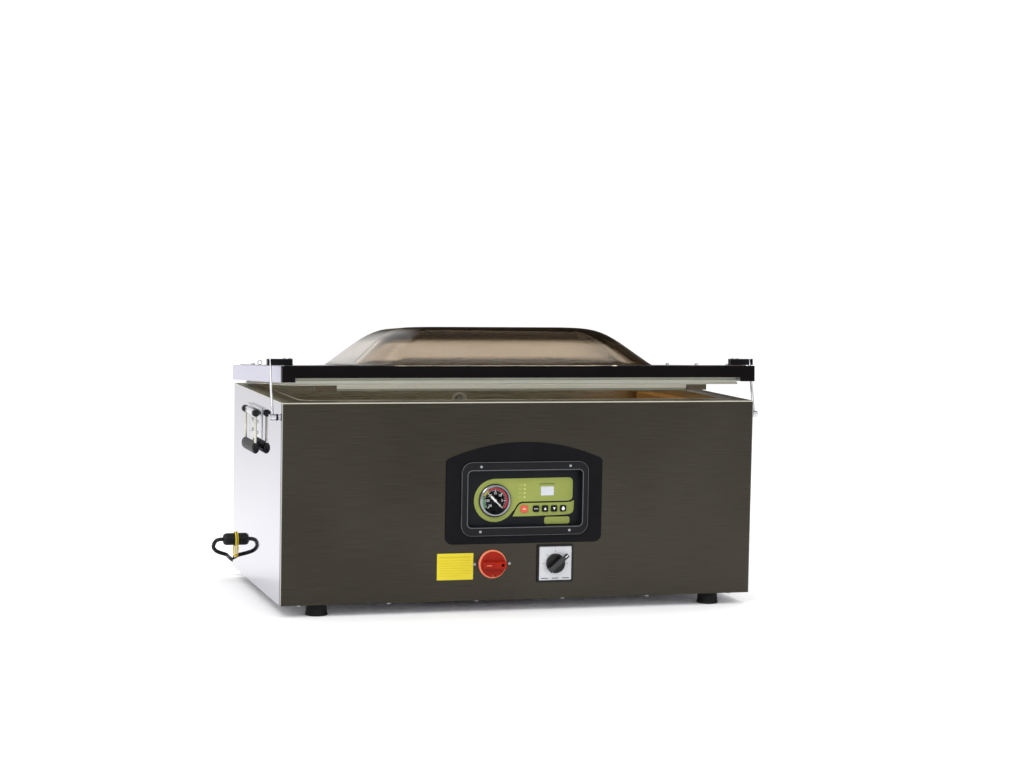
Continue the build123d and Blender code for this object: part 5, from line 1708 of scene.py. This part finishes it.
@dataclass
class Gauge(Assembly):
    """The vacuum gauge: ring, lens, dial with coloured arcs and numbers, and needle.

    Attributes:
        centre: Middle of the dial, taken from the CAD.
        back: The dial's place along Y, taken from the CAD.
        needle_angle: The needle's angle at rest, in degrees.
    """

    centre: Point2 = (0.0, 0.0)
    back: float = 0.0
    needle_angle: float = -45.0

    def build(self) -> None:
        """Dress the case and draw the dial."""
        self.dress("gauge_case", DIAL_BLACK)
        self.dress("gauge_lens", LENS)
        self.centre = middle_of("gauge_ring")
        self.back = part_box("gauge_case")[0][1]
        ring = [
            (0.0256, 0.0014), (0.0256, 0.0068), (0.0262, 0.0075), (0.0285, 0.0073), (0.0308, 0.0058),
            (0.0319, 0.0036), (0.0320, 0.0), (0.0292, 0.0), (0.0292, 0.0014),
        ]
        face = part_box("overlay_plate")[0][1]
        # The bezel's dark chrome tone is painted reflection.
        bezel = turned("gauge_bezel", [ring], [(self.centre[0], face, self.centre[1])], Axle.MINUS_Y, 72)
        self.put(bezel, GAUGE_CHROME, "cabinet", "chrome_trim", ["gauge_ring"])
        self.arcs()
        self.scale()
        self.needle()

    def band(self, name: str, start: float, end: float, finish: Finish) -> None:
        """A coloured arc near the dial's rim."""
        steps = max(6, int(abs(end - start) / 6))
        outer = arc_points(self.centre, 0.0248, start, end, steps)
        inner = arc_points(self.centre, 0.0212, end, start, steps)
        self.put(plate(name, [outer + inner], self.back, 0.0003, 0.00008), finish, "cabinet", "needle_white")

    def arcs(self) -> None:
        """The scale's arcs: green and yellow on the left, red over the top and the right."""
        self.band("arc_red", 122, -38, ARC_RED)
        self.band("arc_yellow", 158, 125, ARC_YELLOW)
        self.band("arc_green", 216, 161, ARC_GREEN)

    def scale(self) -> None:
        """Ticks and plain numbers."""
        ticks = []
        for i in range(31):
            angle = 225 - 9 * i
            reach = (0.0170, 0.0205) if i % 5 == 0 else (0.0188, 0.0205)
            wide = 1.8 if i % 5 == 0 else 0.9
            ticks.append(
                arc_points(self.centre, reach[1], angle + wide, angle - wide, 2)
                + arc_points(self.centre, reach[0], angle - wide, angle + wide, 2)
            )
        marks = plate("dial_ticks", ticks, self.back, 0.00025, 0.00005)
        self.put(marks, MARK_WHITE, "cabinet", "needle_white")
        for i, number in enumerate(("30", "25", "20", "15", "10", "5", "0")):
            angle = radians(225 - 45 * i)
            text = bpy.data.curves.new(f"dial_number_{number}", "FONT")
            text.body = number
            text.size = 0.0064
            text.align_x = "CENTER"
            text.align_y = "CENTER"
            text.extrude = 0.00008
            shape = taken_shape(text, 1e-7)
            across, up = 0.0138 * cos(angle), 0.0138 * sin(angle)
            spot = (self.centre[0] + across, self.back - 0.0001, self.centre[1] + up)
            shape.transform(Matrix.Translation(spot) @ Facing.OPERATOR.value)
            self.put(new_piece(f"dial_number_{number}", shape), MARK_WHITE, "cabinet", "needle_white")

    def spot(self, reach: float, wide: float) -> Point2:
        """A place on the needle, along and across its length."""
        angle = radians(self.needle_angle)
        return (
            self.centre[0] + reach * cos(angle) - wide * sin(angle),
            self.centre[1] + reach * sin(angle) + wide * cos(angle),
        )

    def needle(self) -> None:
        """The white needle with its thick tail and cap."""
        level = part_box("gauge_needle")[0][1] + 0.0008
        sizes = [(0.0226, 0.0), (0.0, 0.0014), (-0.0090, 0.0024), (-0.0116, 0.0012)]
        sizes += [(-0.0116, -0.0012), (-0.0090, -0.0024), (0.0, -0.0014)]
        blade = plate("needle_blade", [[self.spot(*size) for size in sizes]], level, 0.0008, 0.0002)
        self.put(blade, MARK_WHITE, "needle", "needle_white", ["gauge_needle"])
        profile = [(0.0, 0.0), (0.0026, 0.0), (0.0026, 0.0010), (0.0018, 0.0016), (0.0, 0.0018)]
        cap = turned("needle_cap", [profile], [(self.centre[0], level, self.centre[1])], Axle.MINUS_Y, 32)
        self.put(cap, MARK_WHITE, "needle", "needle_white")


@dataclass
class Switches(Assembly):
    """The red main switch, the cam selector and the yellow label."""

    def build(self) -> None:
        """Dress the knobs and add their marks, the selector's frame and the label."""
        self.dress_all({
            "switch_collar": SWITCH_ORANGE,
            "main_knob": SWITCH_RED,
            "selector_plate": PLATE_SILVER,
            "selector_knob": KNOB_BLACK,
            "contact_blocks": RUBBER_BLACK,
        })
        self.selector()
        self.label()

    def selector(self) -> None:
        """The selector's black frame, position ticks, pointer and a grip bar in a lighter grey as painted
        highlight.
        """
        low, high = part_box("selector_plate")
        centre = middle_of("selector_plate")
        outer = rounded_outline(centre, (0.0720, 0.0720), 0.0034)
        inner = rounded_outline(centre, (0.0644, 0.0644), 0.0014)
        frame_piece = plate("selector_frame", [outer, inner[::-1]], high[1], 0.0044, 0.0006)
        self.put(frame_piece, KNOB_BLACK, "cabinet", "black_plastic")
        ticks = []
        for angle in (0, 45, 90, 135, 180):
            for reach in (0.0225, 0.0245):
                x, z = centre[0] + reach * cos(radians(angle)), centre[1] + reach * sin(radians(angle))
                ticks.append(arc_points((x, z), 0.0007, 0, 330, 11))
        for x in (-0.021, 0.0, 0.021):
            ticks.append(rounded_outline((centre[0] + x, centre[1] - 0.0285), (0.014, 0.0014), 0.0006, 3))
        marks = plate("selector_marks", ticks, low[1], 0.0002, 0.00006)
        self.put(marks, KNOB_BLACK, "cabinet", "black_plastic")
        knob_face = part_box("selector_knob")[0][1]
        angle = radians(41)
        # The grip bar's lighter grey is painted highlight on the black knob.
        grip = rounded_box("selector_grip", (-0.0205, -0.0045, 0.0), (0.0275, 0.0045, 0.0050), 0.0016, 4)
        swing = Matrix.Rotation(angle, 4, "Z")
        base = Matrix.Translation((centre[0], knob_face + 0.0044, centre[1]))
        grip.data.transform(base @ Facing.OPERATOR.value @ swing)
        self.put(grip, KNOB_GRIP_PAINTED_HIGHLIGHT, "selector", "black_plastic")
        near, far, half = 0.0195, 0.0262, 0.0008
        points = []
        for distance, wide in ((near, -half), (far, -half), (far, half), (near, half)):
            points.append((
                centre[0] + distance * cos(angle) - wide * sin(angle),
                centre[1] + distance * sin(angle) + wide * cos(angle),
            ))
        pointer = plate("selector_pointer", [points], knob_face - 0.0005, 0.0003, 0.00008)
        self.put(pointer, MARK_WHITE, "selector", "white_plastic")
        middle = (middle_of("main_knob")[0] - 0.012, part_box("switch_collar")[0][2] + 0.027)
        bar = rounded_outline(middle, (0.010, 0.0013), 0.0005, 3)
        mark = plate("main_switch_mark", [bar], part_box("main_knob")[0][1] + 0.0001, 0.0003, 0.00008)
        self.put(mark, SWITCH_ORANGE, "main_switch", "orange_plastic")

    def label(self) -> None:
        """The yellow label, with rules in place of words."""
        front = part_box("front_panel")[0][1]
        centre, size = (-0.1317, 0.0883), (0.0706, 0.0502)
        sheet = plate("yellow_label", [rounded_outline(centre, size, 0.0015)], front, 0.0004, 0.0001)
        self.put(sheet, LABEL_YELLOW, "cabinet", "yellow_tie")
        rules = [rounded_outline((centre[0], centre[1] + 0.0180), (0.0600, 0.0034), 0.0008, 3)]
        for row in range(7):
            wide = (0.060, 0.057, 0.060, 0.052, 0.060, 0.058, 0.040)[row]
            x = centre[0] - (0.060 - wide) / 2
            rules.append(rounded_outline((x, centre[1] + 0.0115 - row * 0.0048), (wide, 0.0014), 0.0006, 3))
        lines = plate("label_rules", rules, front - 0.0004, 0.0001, 0.00003)
        self.put(lines, LABEL_INK, "cabinet", "yellow_tie")


@dataclass
class Interior(Assembly):
    """What the cabinet holds."""

    def build(self) -> None:
        """Dress the pump, its hose, its valve and the transformer."""
        self.dress_all({
            "vacuum_pump": PUMP_PAINT,
            "vacuum_hose": RUBBER_BLACK,
            "solenoid_valve": CAST_ALLOY,
            "transformer": PUMP_PAINT,
        })


def main() -> None:
    """Build every sub-assembly in order."""
    assemblies = [
        Studio(),
        MainsLead(),
        Cabinet(),
        Chamber(),
        Lid(),
        Hinges(),
        HoldDowns(),
        CarryHandles(),
        ControlPanel(),
        Gauge(),
        Switches(),
        Interior(),
    ]
    for assembly in assemblies:
        LOG.info("building %s", type(assembly).__name__)
        assembly.build()
    bpy.context.view_layer.update()


if __name__ == "__main__":
    main()
